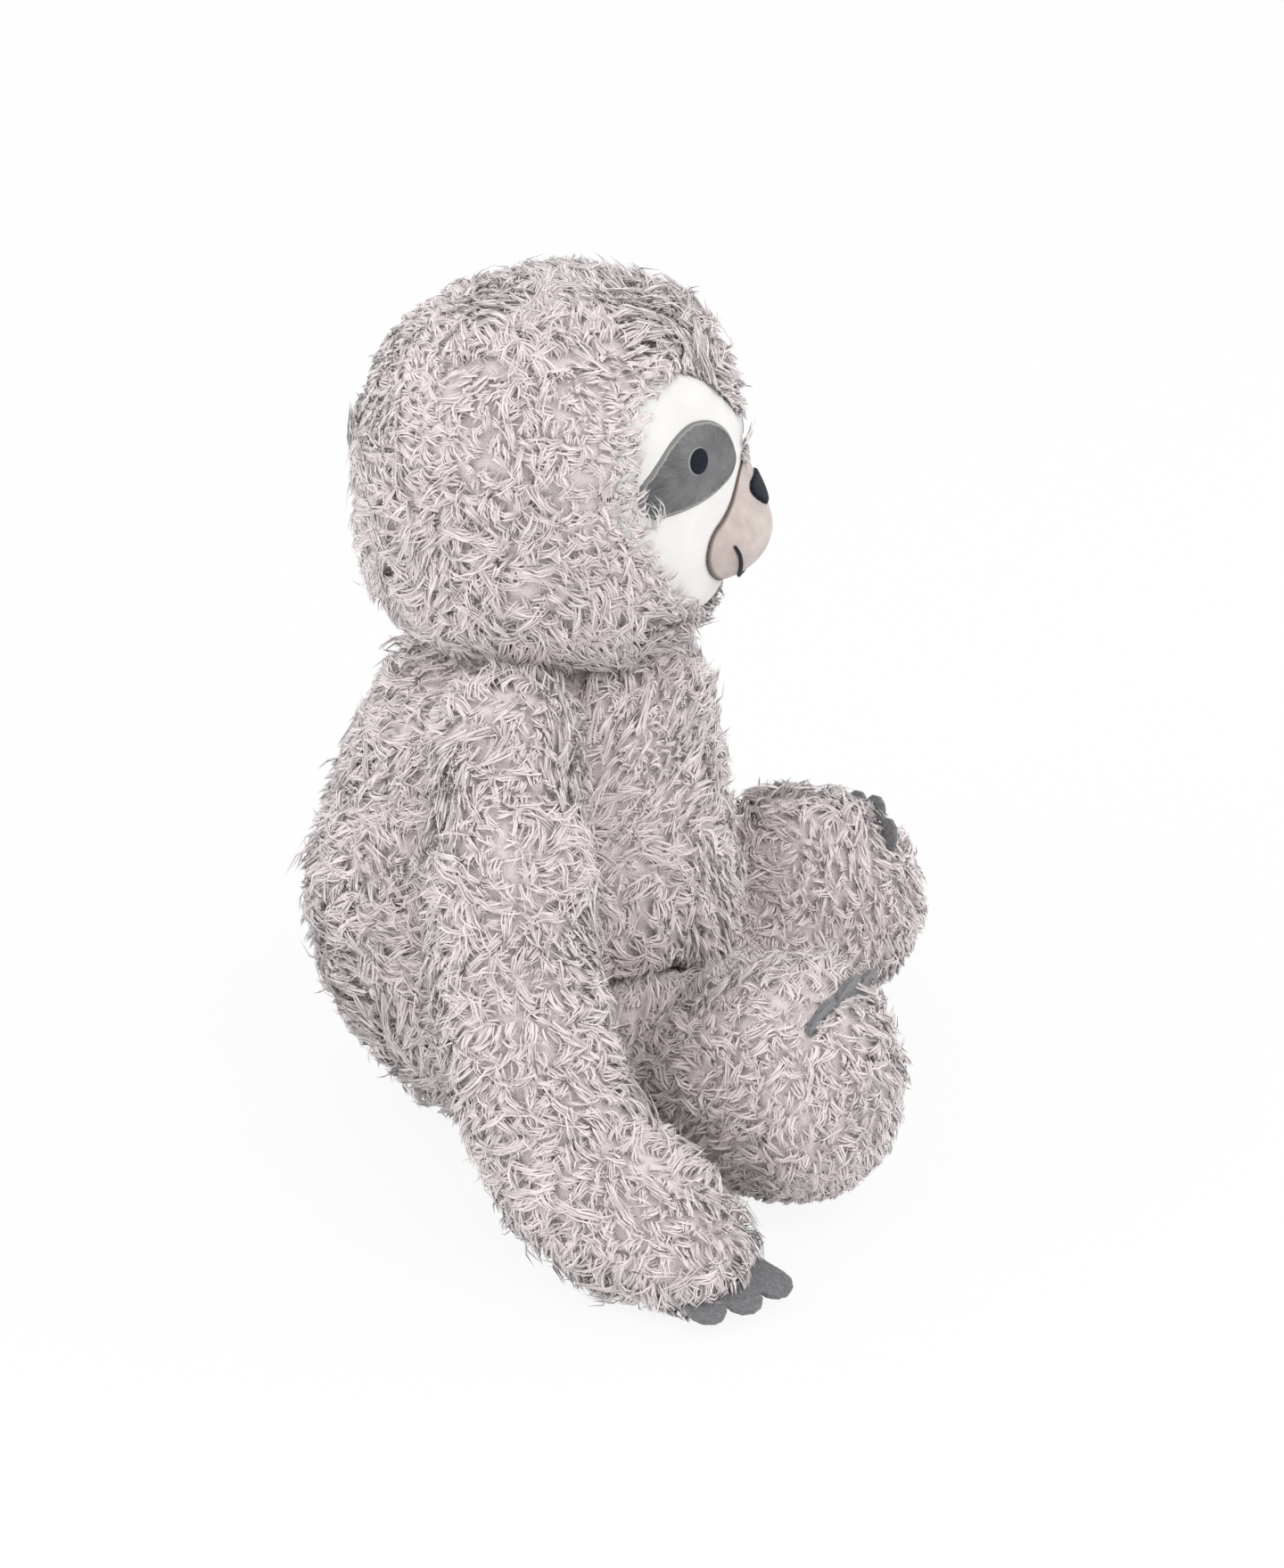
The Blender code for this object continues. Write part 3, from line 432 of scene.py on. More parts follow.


# Painted light: the backing is lighter than the locks' tips, filling the shade at the foot of the
# pile.
BACKING = GrainFinish("pile_backing", (0.90, 0.81, 0.81), (0.96, 0.87, 0.87),
                      (1500, 4, 0.6), (0.0006, 1.0), (0.3, 0.7), 0.95, 0.3)
FELT = GrainFinish("grey_felt", (0.105, 0.105, 0.115), (0.24, 0.24, 0.25),
                   (900, 5, 0.7), (0.0004, 0.7), (0.3, 0.7), 0.95, 0.4)


def thread_finish(name: str, low: Colour, high: Colour) -> bpy.types.Material:
    """Twisted sewing thread between two colours."""
    return GrainFinish(name, low, high, (1800, 2, 0.5), (0.0002, 0.6), (0.35, 0.65), 0.7,
                       0.1).make()


@dataclass(frozen=True)
class ShortPlushFinish:
    """Smooth short white plush."""

    low: Colour = (0.76, 0.745, 0.725)
    high: Colour = (0.85, 0.835, 0.82)

    def make(self) -> bpy.types.Material:
        """The material."""
        shader = Shader("short_white_plush")
        fibres = shader.noise(2600, 2, 0.6)
        clouds = shader.noise(90, 3, 0.5)
        mixed = shader.sum(fibres, clouds, "MULTIPLY")
        shader.bump(fibres, 0.00015, 0.4)
        return shader.cloth(shader.ramp(mixed, (0.1, self.low), (0.4, self.high)), 0.9, 0.25)


@dataclass(frozen=True)
class BrushedClothFinish:
    """Brushed taupe cloth of the muzzle, mottled, with painted shade in a thin band along its
    seam.
    """

    # Painted shade: the dark colour of the band where the cloth turns into its seam.
    seam: Colour = (0.20, 0.15, 0.135)
    low: Colour = (0.45, 0.38, 0.355)
    high: Colour = (0.62, 0.535, 0.505)
    seam_width: float = 0.0004

    def make(self) -> bpy.types.Material:
        """The material."""
        shader = Shader("brushed_taupe_cloth")
        fuzz = shader.noise(2400, 3, 0.65)
        clouds = shader.noise(160, 3, 0.5)
        shader.bump(fuzz, 0.00018, 0.5)
        mixed = shader.sum(shader.sum(fuzz, 0.5, "MULTIPLY"), clouds)
        cloth = shader.ramp(mixed, (0.45, self.low), (0.95, self.high))
        # Painted shade: a ragged band just inside the seam is darkened.
        ragged = shader.sum(fuzz, self.seam_width, "MULTIPLY")
        edge = shader.sum(shader.attribute("inward"), ragged, "SUBTRACT")
        inside = shader.span(edge, 0, self.seam_width)
        colour = shader.blended(inside, (*self.seam, 1), cloth)
        return shader.cloth(colour, 0.9, 0.3)


@dataclass(frozen=True)
class EyeClothFinish:
    """Grey eye patch: streaked grey thread, a light cord line and a satin border."""

    border: Colour = (0.22, 0.215, 0.20)
    cord: Colour = (0.34, 0.34, 0.32)
    field_dark: Colour = (0.080, 0.080, 0.085)
    field_light: Colour = (0.215, 0.217, 0.222)
    border_width: float = 0.0006
    cord_width: float = 0.0004

    def make(self) -> bpy.types.Material:
        """The material."""
        shader = Shader("grey_eye_cloth")
        streaks = shader.noise(1, 3, 0.6, shader.flat_place("around", "inward", (1500, 260)))
        grain = shader.noise(3800, 2, 0.6)
        mixed = shader.sum(shader.sum(streaks, 0.65, "MULTIPLY"),
                           shader.sum(grain, 0.35, "MULTIPLY"))
        shader.bump(mixed, 0.00012, 0.6)
        clouds = shader.span(shader.noise(48, 2, 0.5), 0.35, 0.65, -0.10, 0.14)
        grey = shader.ramp(shader.sum(mixed, clouds), (0.30, self.field_dark),
                           (0.70, self.field_light))
        wander = shader.span(shader.noise(420, 3, 0.6), 0.3, 0.7, -0.00035, 0.00035)
        inward = shader.sum(shader.attribute("inward"), wander)
        cord_in = shader.span(inward, self.border_width, self.border_width + 0.00025)
        cord_out = shader.span(inward, self.border_width + self.cord_width,
                               self.border_width + self.cord_width + 0.0004)
        edge = shader.blended(shader.span(mixed, 0.35, 0.65), (*self.border, 1),
                              (*self.field_light, 1))
        colour = shader.blended(cord_in, edge, (*self.cord, 1))
        colour = shader.blended(cord_out, colour, grey)
        return shader.cloth(colour, 0.7, 0.10, 0.15)


@dataclass(frozen=True)
class SatinFinish:
    """Satin stitch: dark shiny threads laid side by side, with a lighter outline thread."""

    name: str
    low: Colour = (0.004, 0.006, 0.011)
    high: Colour = (0.014, 0.018, 0.030)
    rim: Colour = (0.30, 0.31, 0.31)
    rim_width: float = 0.0
    scales: tuple[float, float] = (1900, 140)

    def make(self) -> bpy.types.Material:
        """The material."""
        shader = Shader(self.name)
        threads = shader.noise(1, 2, 0.6, shader.flat_place("around", "inward", self.scales))
        shader.bump(threads, 0.00012, 0.7)
        colour = shader.ramp(threads, (0.3, self.low), (0.75, self.high))
        if self.rim_width:
            inside = shader.span(shader.attribute("inward"), self.rim_width * 0.8, self.rim_width)
            colour = shader.blended(inside, (*self.rim, 1), colour)
        return shader.cloth(colour, 0.6, 0.0, 0.12)


@dataclass(frozen=True)
class FloorFinish:
    """The pale floor: plain under the lamps, and nearly white to the camera."""

    colour: Colour = (0.86, 0.86, 0.86)
    white_share: float = 0.90

    def make(self) -> bpy.types.Material:
        """The material."""
        shader = Shader("pale_floor")
        grain = shader.noise(3, 2, 0.5)
        material = shader.cloth(shader.ramp(grain, (0, self.colour), (1, self.colour)), 0.9, 0)
        white = shader.add("Emission")
        path = shader.add("LightPath")
        seen = shader.sum(path.outputs["Is Camera Ray"], path.outputs["Is Glossy Ray"])
        seen = shader.sum(seen, path.outputs["Is Transmission Ray"])
        share = shader.span(seen, 0, 1, 0, self.white_share)
        mix = shader.add("MixShader")
        shader.feed(mix.inputs["Fac"], share)
        shader.feed(mix.inputs[1], shader.surface.outputs["BSDF"])
        shader.feed(mix.inputs[2], white.outputs["Emission"])
        shader.feed(shader.nodes["Material Output"].inputs["Surface"], mix.outputs["Shader"])
        return material


@dataclass
class StuffedForm:
    """A stuffed part: its padded skin stands in the space of its solids."""

    name: str
    body: str
    nodes: tuple[str, ...]
    replaced: tuple[str, ...]
    fill: float
    voxel: float = 0.003
    under_pile: float = 0.0008
    rounds: int = 5

    def build(self, frame: dict, finish: bpy.types.Material) -> bpy.types.Object:
        """Make the padded skin.

        Args:
            finish: Material of the backing.

        Returns:
            The skin.
        """
        skin = Bench.soft_copy(frame, self.nodes, self.name, self.voxel, self.rounds)
        Bench.take(skin)
        bpy.ops.object.mode_set(mode="EDIT")
        bpy.ops.mesh.select_all(action="SELECT")
        bpy.ops.transform.shrink_fatten(value=-self.under_pile)
        bpy.ops.object.mode_set(mode="OBJECT")
        Bench.smooth(skin, math.pi)
        Bench.finish(skin, finish, self.body, "fur", self.replaced)
        return skin


@dataclass(frozen=True)
class LockSizes:
    """Sizes of the locks of one coat, in metres, and shares of a lock's length."""

    length: float = 0.0084
    width: float = 0.000375
    tuft_pitch: float = 0.0036
    rise: float = 0.57
    lean: float = 0.60
    curl: float = 0.36
    length_spread: float = 0.12
    drift: float = 0.78
    wander: float = 0.15
    stray_share: float = 0.03
    root_depth: float = 0.0008


class Swirl:
    """A smooth made-up flow of directions through space."""

    def __init__(self, wave: float, seed: int, count: int = 10) -> None:
        """Draw the waves of the flow.

        Args:
            wave: Its mean wavelength.
            seed: Start of the random draw.
            count: Number of waves.
        """
        draw = np.random.default_rng(seed)
        ways = draw.normal(size=(count, 3))
        ways /= np.linalg.norm(ways, axis=1, keepdims=True)
        self.ways = ways * (math.tau / (wave * draw.uniform(0.6, 1.7, (count, 1))))
        self.phases = draw.uniform(0, math.tau, count)
        self.moves = draw.normal(size=(count, 3)) / math.sqrt(count / 2)

    def at(self, points: Points) -> Points:
        """The flow's direction at each point."""
        return np.sin(points @ self.ways.T + self.phases) @ self.moves


def unit(rows: Points) -> Points:
    """Rows scaled to length 1."""
    return rows / np.maximum(np.linalg.norm(rows, axis=1, keepdims=True), 1e-12)


def fade(values: Points, start: float, width: float) -> Points:
    """Shares that grow from 0 at a start to 1 a width further on."""
    return np.clip((values - start) / width, 0, 1)


def along_skin(ways: Points, normals: Points) -> Points:
    """Directions with the part that points out of the skin taken away."""
    return ways - normals * (ways * normals).sum(1, keepdims=True)


class Coat:
    """Soft curly locks over a skin, drawn together in tufts.

    A lock is a spindle: a point at its root, two rings of three corners, a point at its tip.
    """

    CLEARANCE = 0.0030
    FLOOR_GAP = 0.0008
    LOWEST = 0.0002
    REACH = 0.012
    MOST_LOCKS = 16500
    SWIRL_SHARE = 0.85
    COARSE_SHARE = 0.7
    JITTER = 0.40
    BULGE = 0.6
    ROUNDNESS = 0.2
    KNOTS = (0.0, 0.34, 0.70, 1.0)
    WIDTH_SHARES = (1.0, 0.85)
    FACES = ((0, 2, 1), (0, 3, 2), (0, 1, 3), (1, 2, 5), (1, 5, 4), (2, 3, 6), (2, 6, 5),
             (3, 1, 4), (3, 4, 6), (4, 5, 7), (5, 6, 7), (6, 4, 7))

    def __init__(self, skin: bpy.types.Object, body: str, locks: LockSizes, seed: int) -> None:
        """Hold what the coat grows on.

        Args:
            skin: The skin that it is rooted in.
            body: The body that it rides on.
            locks: Sizes of its locks.
            seed: Start of the random draw.
        """
        self.skin = skin
        self.body = body
        self.locks = locks
        self.draw = np.random.default_rng(seed)
        self.swirl = Swirl(0.030, seed + 1)
        self.coarse_swirl = Swirl(0.085, seed + 2)

    def scatter(self, count: int) -> tuple[Points, Points]:
        """Spread points evenly over the skin.

        Args:
            count: Number of points.

        Returns:
            The points and the skin's normals there.
        """
        mesh = self.skin.data
        mesh.calc_loop_triangles()
        corners = np.zeros(len(mesh.loop_triangles) * 3, np.int32)
        mesh.loop_triangles.foreach_get("vertices", corners)
        corners = corners.reshape(-1, 3)
        flat = np.zeros(len(mesh.vertices) * 3, np.float32)
        mesh.vertices.foreach_get("normal", flat)
        normals = flat.reshape(-1, 3).astype(float)
        points = Bench.points_of(self.skin)
        a, b, c = (points[corners[:, k]] for k in range(3))
        areas = np.linalg.norm(np.cross(b - a, c - a), axis=1) / 2
        steps = (np.arange(count) + self.draw.uniform(0, 1, count)) / count * areas.sum()
        chosen = np.minimum(np.searchsorted(np.cumsum(areas), steps), len(areas) - 1)
        u, v = self.draw.uniform(0, 1, (2, count, 1))
        over = u + v > 1
        u, v = np.where(over, 1 - u, u), np.where(over, 1 - v, v)
        shares = (1 - u - v, u, v)
        corner_places = (a[chosen], b[chosen], c[chosen])
        place = sum(corner * share for corner, share in zip(corner_places, shares))
        rows = corners[chosen]
        normal = sum(normals[rows[:, k]] * share for k, share in enumerate(shares))
        return place, unit(normal)

    @staticmethod
    def nearest(points: Points, centres: Points) -> np.ndarray:
        """The index of the nearest centre to each point."""
        tree = KDTree(len(centres))
        for k, centre in enumerate(centres):
            tree.insert(centre, k)
        tree.balance()
        return np.array([tree.find(point)[1] for point in points])

    @staticmethod
    def room(points: Points, neighbours: list[BVHTree]) -> Points:
        """How far each point is from the nearest neighbouring part, up to a reach."""
        far = np.full(len(points), Coat.REACH)
        for tree in neighbours:
            for k, point in enumerate(points):
                found = tree.find_nearest(point, Coat.REACH)
                if found[3] is not None:
                    far[k] = min(far[k], found[3])
        return far

    def lay(self, points: Points, normals: Points, pull: Callable[[Points], Points]) -> Points:
        """The way the pile lies at each point, along the skin."""
        flow = self.swirl.at(points) * self.SWIRL_SHARE
        flow = flow + self.coarse_swirl.at(points) * self.COARSE_SHARE
        flow += pull(points)
        flow += self.draw.normal(size=points.shape) * self.JITTER
        return unit(along_skin(flow, normals))

    def grow(self, count: int, neighbours: list[BVHTree], pull: Callable[[Points], Points],
             keep: Callable[[Points, Points], Points] | None = None,
             height: Callable[[Points], Points] | None = None) -> dict[str, Points]:
        """Work out every lock of the coat.

        Args:
            count: Number of locks before the covered ones are left out.
            neighbours: Skins of the parts beside this one.
            pull: The way in which the pile is combed, from points.
            keep: Tells which roots stay, from points and normals.
            height: How long the locks are at each root, as a share.

        Returns:
            Paths of the locks, the skin's normal at their roots, and their shade: a random tone
            lowered by painted shade in creases.
        """
        size = self.locks
        roots, normals = self.scatter(count)
        free = self.room(roots, neighbours)
        good = (free > self.CLEARANCE) & (roots[:, 2] > self.FLOOR_GAP)
        if keep is not None:
            good &= keep(roots, normals)
        roots, normals, free = roots[good], normals[good], free[good]
        total = len(roots)
        area = sum(face.area for face in self.skin.data.polygons)
        tufts, tuft_normals = self.scatter(max(int(area / size.tuft_pitch ** 2), 1))
        owner = self.nearest(roots, tufts)
        tuft_lay = self.lay(tufts, tuft_normals, pull)
        tuft_side = np.cross(tuft_normals, tuft_lay)
        tuft_curl = self.draw.normal(0, size.curl, (len(tufts), 1))
        tuft_long = 1 + self.draw.normal(0, size.length_spread, (len(tufts), 1))
        tuft_rise = self.draw.uniform(0.75, 1.25, (len(tufts), 1))
        tuft_shade = self.draw.uniform(0, 1, len(tufts))

        stray = (self.draw.uniform(0, 1, (total, 1)) < size.stray_share).astype(float)
        space = np.clip((free - 0.002) / 0.009, 0.35, 1)[:, None]
        long = size.length * np.clip(tuft_long[owner], 0.6, 1.4) * space
        long = long * self.draw.uniform(0.8, 1.15, (total, 1)) * (1 + 0.12 * stray)
        if height is not None:
            long = long * height(roots)[:, None]
        lay = tuft_lay[owner] + self.draw.normal(0, size.wander, roots.shape) * (1 + 2 * stray)
        lay = unit(along_skin(lay, normals))
        side = np.cross(normals, lay) * 0.5 + tuft_side[owner] * 0.5
        curl = tuft_curl[owner] + self.draw.normal(0, 0.09, (total, 1)) * (1 + 2 * stray)
        rise = size.rise * tuft_rise[owner] * (1 + 0.25 * stray)
        lean = size.lean * np.sqrt(np.clip(1.45 - 0.45 * (rise / size.rise) ** 2, 0.4, 1.4))
        drift = along_skin(tufts[owner] - roots, normals) * size.drift * (1 - stray)
        rows = []
        for knot in self.KNOTS:
            up = rise * (1.5 * knot - 0.5 * knot * knot)
            out = lean * knot ** 1.35
            bend = curl * math.sin(math.pi * 1.2 * knot)
            point = roots - normals * (size.root_depth if knot == 0 else 0)
            point = point + long * (normals * up + lay * out + side * bend)
            rows.append(point + drift * knot)
        shade = 0.6 * tuft_shade[owner] + 0.4 * self.draw.uniform(0, 1, total)
        # Painted shade: locks close to a neighbouring part are darkened, as if shaded in the
        # crease.
        shade = shade - np.clip((0.0085 - free) / 0.0055, 0, 1)
        bulge = along_skin(roots - tufts[owner], normals) / size.tuft_pitch
        return {"path": np.stack(rows, 1), "normal": unit(normals + bulge * self.BULGE),
                "shade": shade}

    def sew(self, grown: dict[str, Points], prefix: str, finish: bpy.types.Material) -> None:
        """Turn locks into meshes, one for each sector of the part.

        Args:
            grown: What grow returned.
            prefix: The start of the sectors' names.
            finish: Material of the locks.
        """
        roots = grown["path"][:, 0]
        parts = max(math.ceil(len(roots) / self.MOST_LOCKS), 1)
        centre = roots.mean(0)
        order = np.argsort(np.arctan2(roots[:, 1] - centre[1], roots[:, 0] - centre[0]),
                           kind="stable")
        for k, chosen in enumerate(np.array_split(order, parts)):
            name = f"{prefix}_{k + 1}"
            mesh = self.mesh_of(name, grown["path"][chosen], grown["normal"][chosen],
                                grown["shade"][chosen])
            Bench.finish(Bench.linked(name, mesh), finish, self.body, "fur")

    def mesh_of(self, name: str, path: Points, normal: Points, shade: Points
                ) -> bpy.types.Mesh:
        """A mesh of closed tapered locks along paths.

        Args:
            name: The mesh's name.
            path: Points of each lock, from root to tip.
            normal: The way that the tuft faces at each root.
            shade: A random tone from 0 to 1 for each lock, lowered by painted shade in creases.

        Returns:
            The mesh.
        """
        count = len(path)
        width = self.locks.width * self.draw.uniform(0.75, 1.25, (count, 1))
        verts = np.zeros((count, 8, 3))
        facing = np.repeat(normal[:, None], 8, 1)
        verts[:, 0], verts[:, 7] = path[:, 0], path[:, 3]
        spin = self.draw.uniform(0, math.tau, (count, 1))
        for ring, share in enumerate(self.WIDTH_SHARES, 1):
            way = unit(path[:, ring + 1] - path[:, ring - 1])
            first = unit(np.cross(way, normal) + 1e-6)
            second = np.cross(way, first)
            for corner in range(3):
                angle = spin + math.tau * corner / 3
                out = first * np.cos(angle) + second * np.sin(angle)
                verts[:, 3 * ring - 2 + corner] = path[:, ring] + out * (width * share)
                facing[:, 3 * ring - 2 + corner] += out * self.ROUNDNESS
        verts[..., 2] = np.maximum(verts[..., 2], self.LOWEST)
        loops = ((np.arange(count) * 8)[:, None, None] + np.array(self.FACES)[None]).ravel()
        mesh = bpy.data.meshes.new(name)
        mesh.vertices.add(count * 8)
        mesh.vertices.foreach_set("co", verts.astype(np.float32).ravel())
        mesh.loops.add(len(loops))
        mesh.loops.foreach_set("vertex_index", loops.astype(np.int32))
        mesh.polygons.add(len(loops) // 3)
        mesh.polygons.foreach_set("loop_start", np.arange(0, len(loops), 3, dtype=np.int32))
        mesh.update(calc_edges=True)
        mesh.shade_smooth()
        along = [self.KNOTS[0]] + [self.KNOTS[1]] * 3 + [self.KNOTS[2]] * 3 + [self.KNOTS[3]]
        Bench.paint(mesh, "along", np.tile(along, count))
        Bench.paint(mesh, "shade", np.repeat(shade, 8))
        mesh.validate()
        mesh.normals_split_custom_set_from_vertices(unit(facing.reshape(-1, 3)))
        return mesh


@dataclass(frozen=True)
class HeadForm:
    """The rounded head, as its solid has it, and the front view's points on it."""

    forward: float = 0.0105295
    centre_height: float = 0.2264955
    half_width: float = 0.065
    half_depth: float = 0.0605
    half_height: float = 0.0575
    rise_power: float = 2.9

    def front(self, x: float, z: float, raised: float = 0.0) -> Vector:
        """A point on the front of the head.

        Args:
            x: Its place across.
            z: Its height.
            raised: How far it stands off the head.

        Returns:
            The point.
        """
        width, height = self.half_width + raised, self.half_height + raised
        rise = min(abs(z - self.centre_height) / height, 1) ** self.rise_power
        room = max((1 - rise) ** (2 / self.rise_power) - (x / width) ** 2, 0)
        return Vector((x, -self.forward - (self.half_depth + raised) * math.sqrt(room), z))

    def point(self, across: float, up: float) -> tuple[float, float]:
        """A point of the front view from shares of the half width and half height."""
        return self.half_width * across, self.centre_height + self.half_height * up


class Shape:
    """A closed outline in the front view, drawn smoothly through its points."""

    STEPS = 6

    def __init__(self, points: Outline, centre: tuple[float, float], closed: bool = True) -> None:
        """Take the outline.

        Args:
            points: Its points, in order.
            centre: A point from which the whole outline can be seen.
            closed: Whether the curve runs on through its ends.
        """
        self.centre = centre
        self.points = self.smoothed(points) if closed else points
        self.angles = [math.atan2(z - centre[1], x - centre[0]) for x, z in self.points]
        steps = [math.dist(a, b) for a, b in self.sides()]
        self.lengths = np.concatenate([[0], np.cumsum(steps)])

    def sides(self) -> list[tuple[tuple[float, float], tuple[float, float]]]:
        """The two ends of each side of the outline."""
        return list(zip(self.points, self.points[1:] + self.points[:1]))

    @staticmethod
    def smoothed(points: Outline) -> Outline:
        """Points of a smooth curve through given points."""
        steps = Shape.STEPS
        made = []
        count = len(points)
        for k in range(count):
            p0, p1, p2, p3 = (points[(k + shift) % count] for shift in (-1, 0, 1, 2))
            for step in range(steps):
                t = step / steps
                made.append(tuple(
                    0.5 * (2 * b + (c - a) * t + (2 * a - 5 * b + 4 * c - d) * t * t
                           + (3 * b - a - 3 * c + d) * t ** 3)
                    for a, b, c, d in zip(p0, p1, p2, p3)))
        return made

    def edge(self, turn: float) -> tuple[float, float]:
        """The point of the outline at a share of its length."""
        at = (turn % 1) * self.lengths[-1]
        k = min(int(np.searchsorted(self.lengths, at, side="right")) - 1, len(self.points) - 1)
        a, b = self.points[k], self.points[(k + 1) % len(self.points)]
        share = (at - self.lengths[k]) / max(self.lengths[k + 1] - self.lengths[k], 1e-12)
        return a[0] + (b[0] - a[0]) * share, a[1] + (b[1] - a[1]) * share

    def nearest(self, x: float, z: float) -> tuple[float, float]:
        """The point of the outline nearest to a point."""
        best, found = math.inf, (x, z)
        for (ax, az), (bx, bz) in self.sides():
            dx, dz = bx - ax, bz - az
            size = dx * dx + dz * dz
            t = max(0.0, min(1.0, ((x - ax) * dx + (z - az) * dz) / size)) if size else 0.0
            far = math.hypot(x - ax - dx * t, z - az - dz * t)
            if far < best:
                best, found = far, (ax + dx * t, az + dz * t)
        return found

    def inside(self, x: Points, z: Points) -> Points:
        """Tells which points lie inside the outline."""
        found = np.zeros(len(x), bool)
        for (ax, az), (bx, bz) in self.sides():
            crosses = (az > z) != (bz > z)
            at = (bx - ax) * (z - az) / (bz - az if bz != az else 1e-12) + ax
            found ^= crosses & (x < at)
        return found

    def distances(self, x: Points, z: Points) -> Points:
        """How far points lie from the outline."""
        best = np.full(len(x), np.inf)
        for (ax, az), (bx, bz) in self.sides():
            dx, dz = bx - ax, bz - az
            t = np.clip(((x - ax) * dx + (z - az) * dz) / max(dx * dx + dz * dz, 1e-18), 0, 1)
            best = np.minimum(best, np.hypot(x - ax - dx * t, z - az - dz * t))
        return best

    def mirrored(self) -> "Shape":
        """The same outline on the other side of the face."""
        return Shape([(-x, z) for x, z in self.points], (-self.centre[0], self.centre[1]), False)


@dataclass
class SewnPatch:
    """A piece laid on a curved ground, shaped from a ball: closed, rounded at its edge."""

    name: str
    shape: Shape
    ground: Callable[[float, float, float], Vector]
    lift: Callable[[float, float, float], float]
    around: int = 96
    rings: int = 36
    band: float = 0.003
    back: float = 0.0003

    def flat(self, turn: float, inward: float) -> tuple[float, float]:
        """A point of the front view, from shares round the outline and in from its edge."""
        x, z = self.shape.edge(turn)
        centre = self.shape.centre
        length = math.dist((x, z), centre)
        band = min(self.band, length * 0.6)
        gone = band * inward * 2 if inward < 0.5 else band + (length - band) * (inward * 2 - 1)
        share = 1 - gone / length
        return centre[0] + (x - centre[0]) * share, centre[1] + (z - centre[1]) * share

    def build(self) -> bpy.types.Object:
        """Make the piece, with how far in and how far round each corner lies."""
        inwards, arounds = [], []

        def place(turn: float, inward: float, front: bool) -> Vector:
            """Where a corner of the ball goes."""
            x, z = self.flat(turn, inward)
            edge = self.ground(*self.shape.nearest(x, z), 0.0)
            distance = 0.0 if inward < 1e-6 else (self.ground(x, z, 0.0) - edge).length
            inwards.append(distance)
            arounds.append(turn * self.shape.lengths[-1])
            return self.ground(x, z, self.lift(x, z, distance) if front else self.back)

        piece = Bench.shaped_ball(self.name, self.around, self.rings, place)
        Bench.paint(piece.data, "inward", inwards)
        Bench.paint(piece.data, "around", arounds)
        return piece


def rounded_edge(distance: float, height: float, width: float) -> float:
    """The height of a padded edge at a distance in from it."""
    share = min(distance / width, 1)
    return height * math.sqrt(max(1 - (1 - share) ** 2, 0))


def mirrored_half(half: Outline) -> Outline:
    """A whole outline from the half that runs from the top of the middle line to its foot."""
    return half + [(-x, z) for x, z in reversed(half[1:-1])]


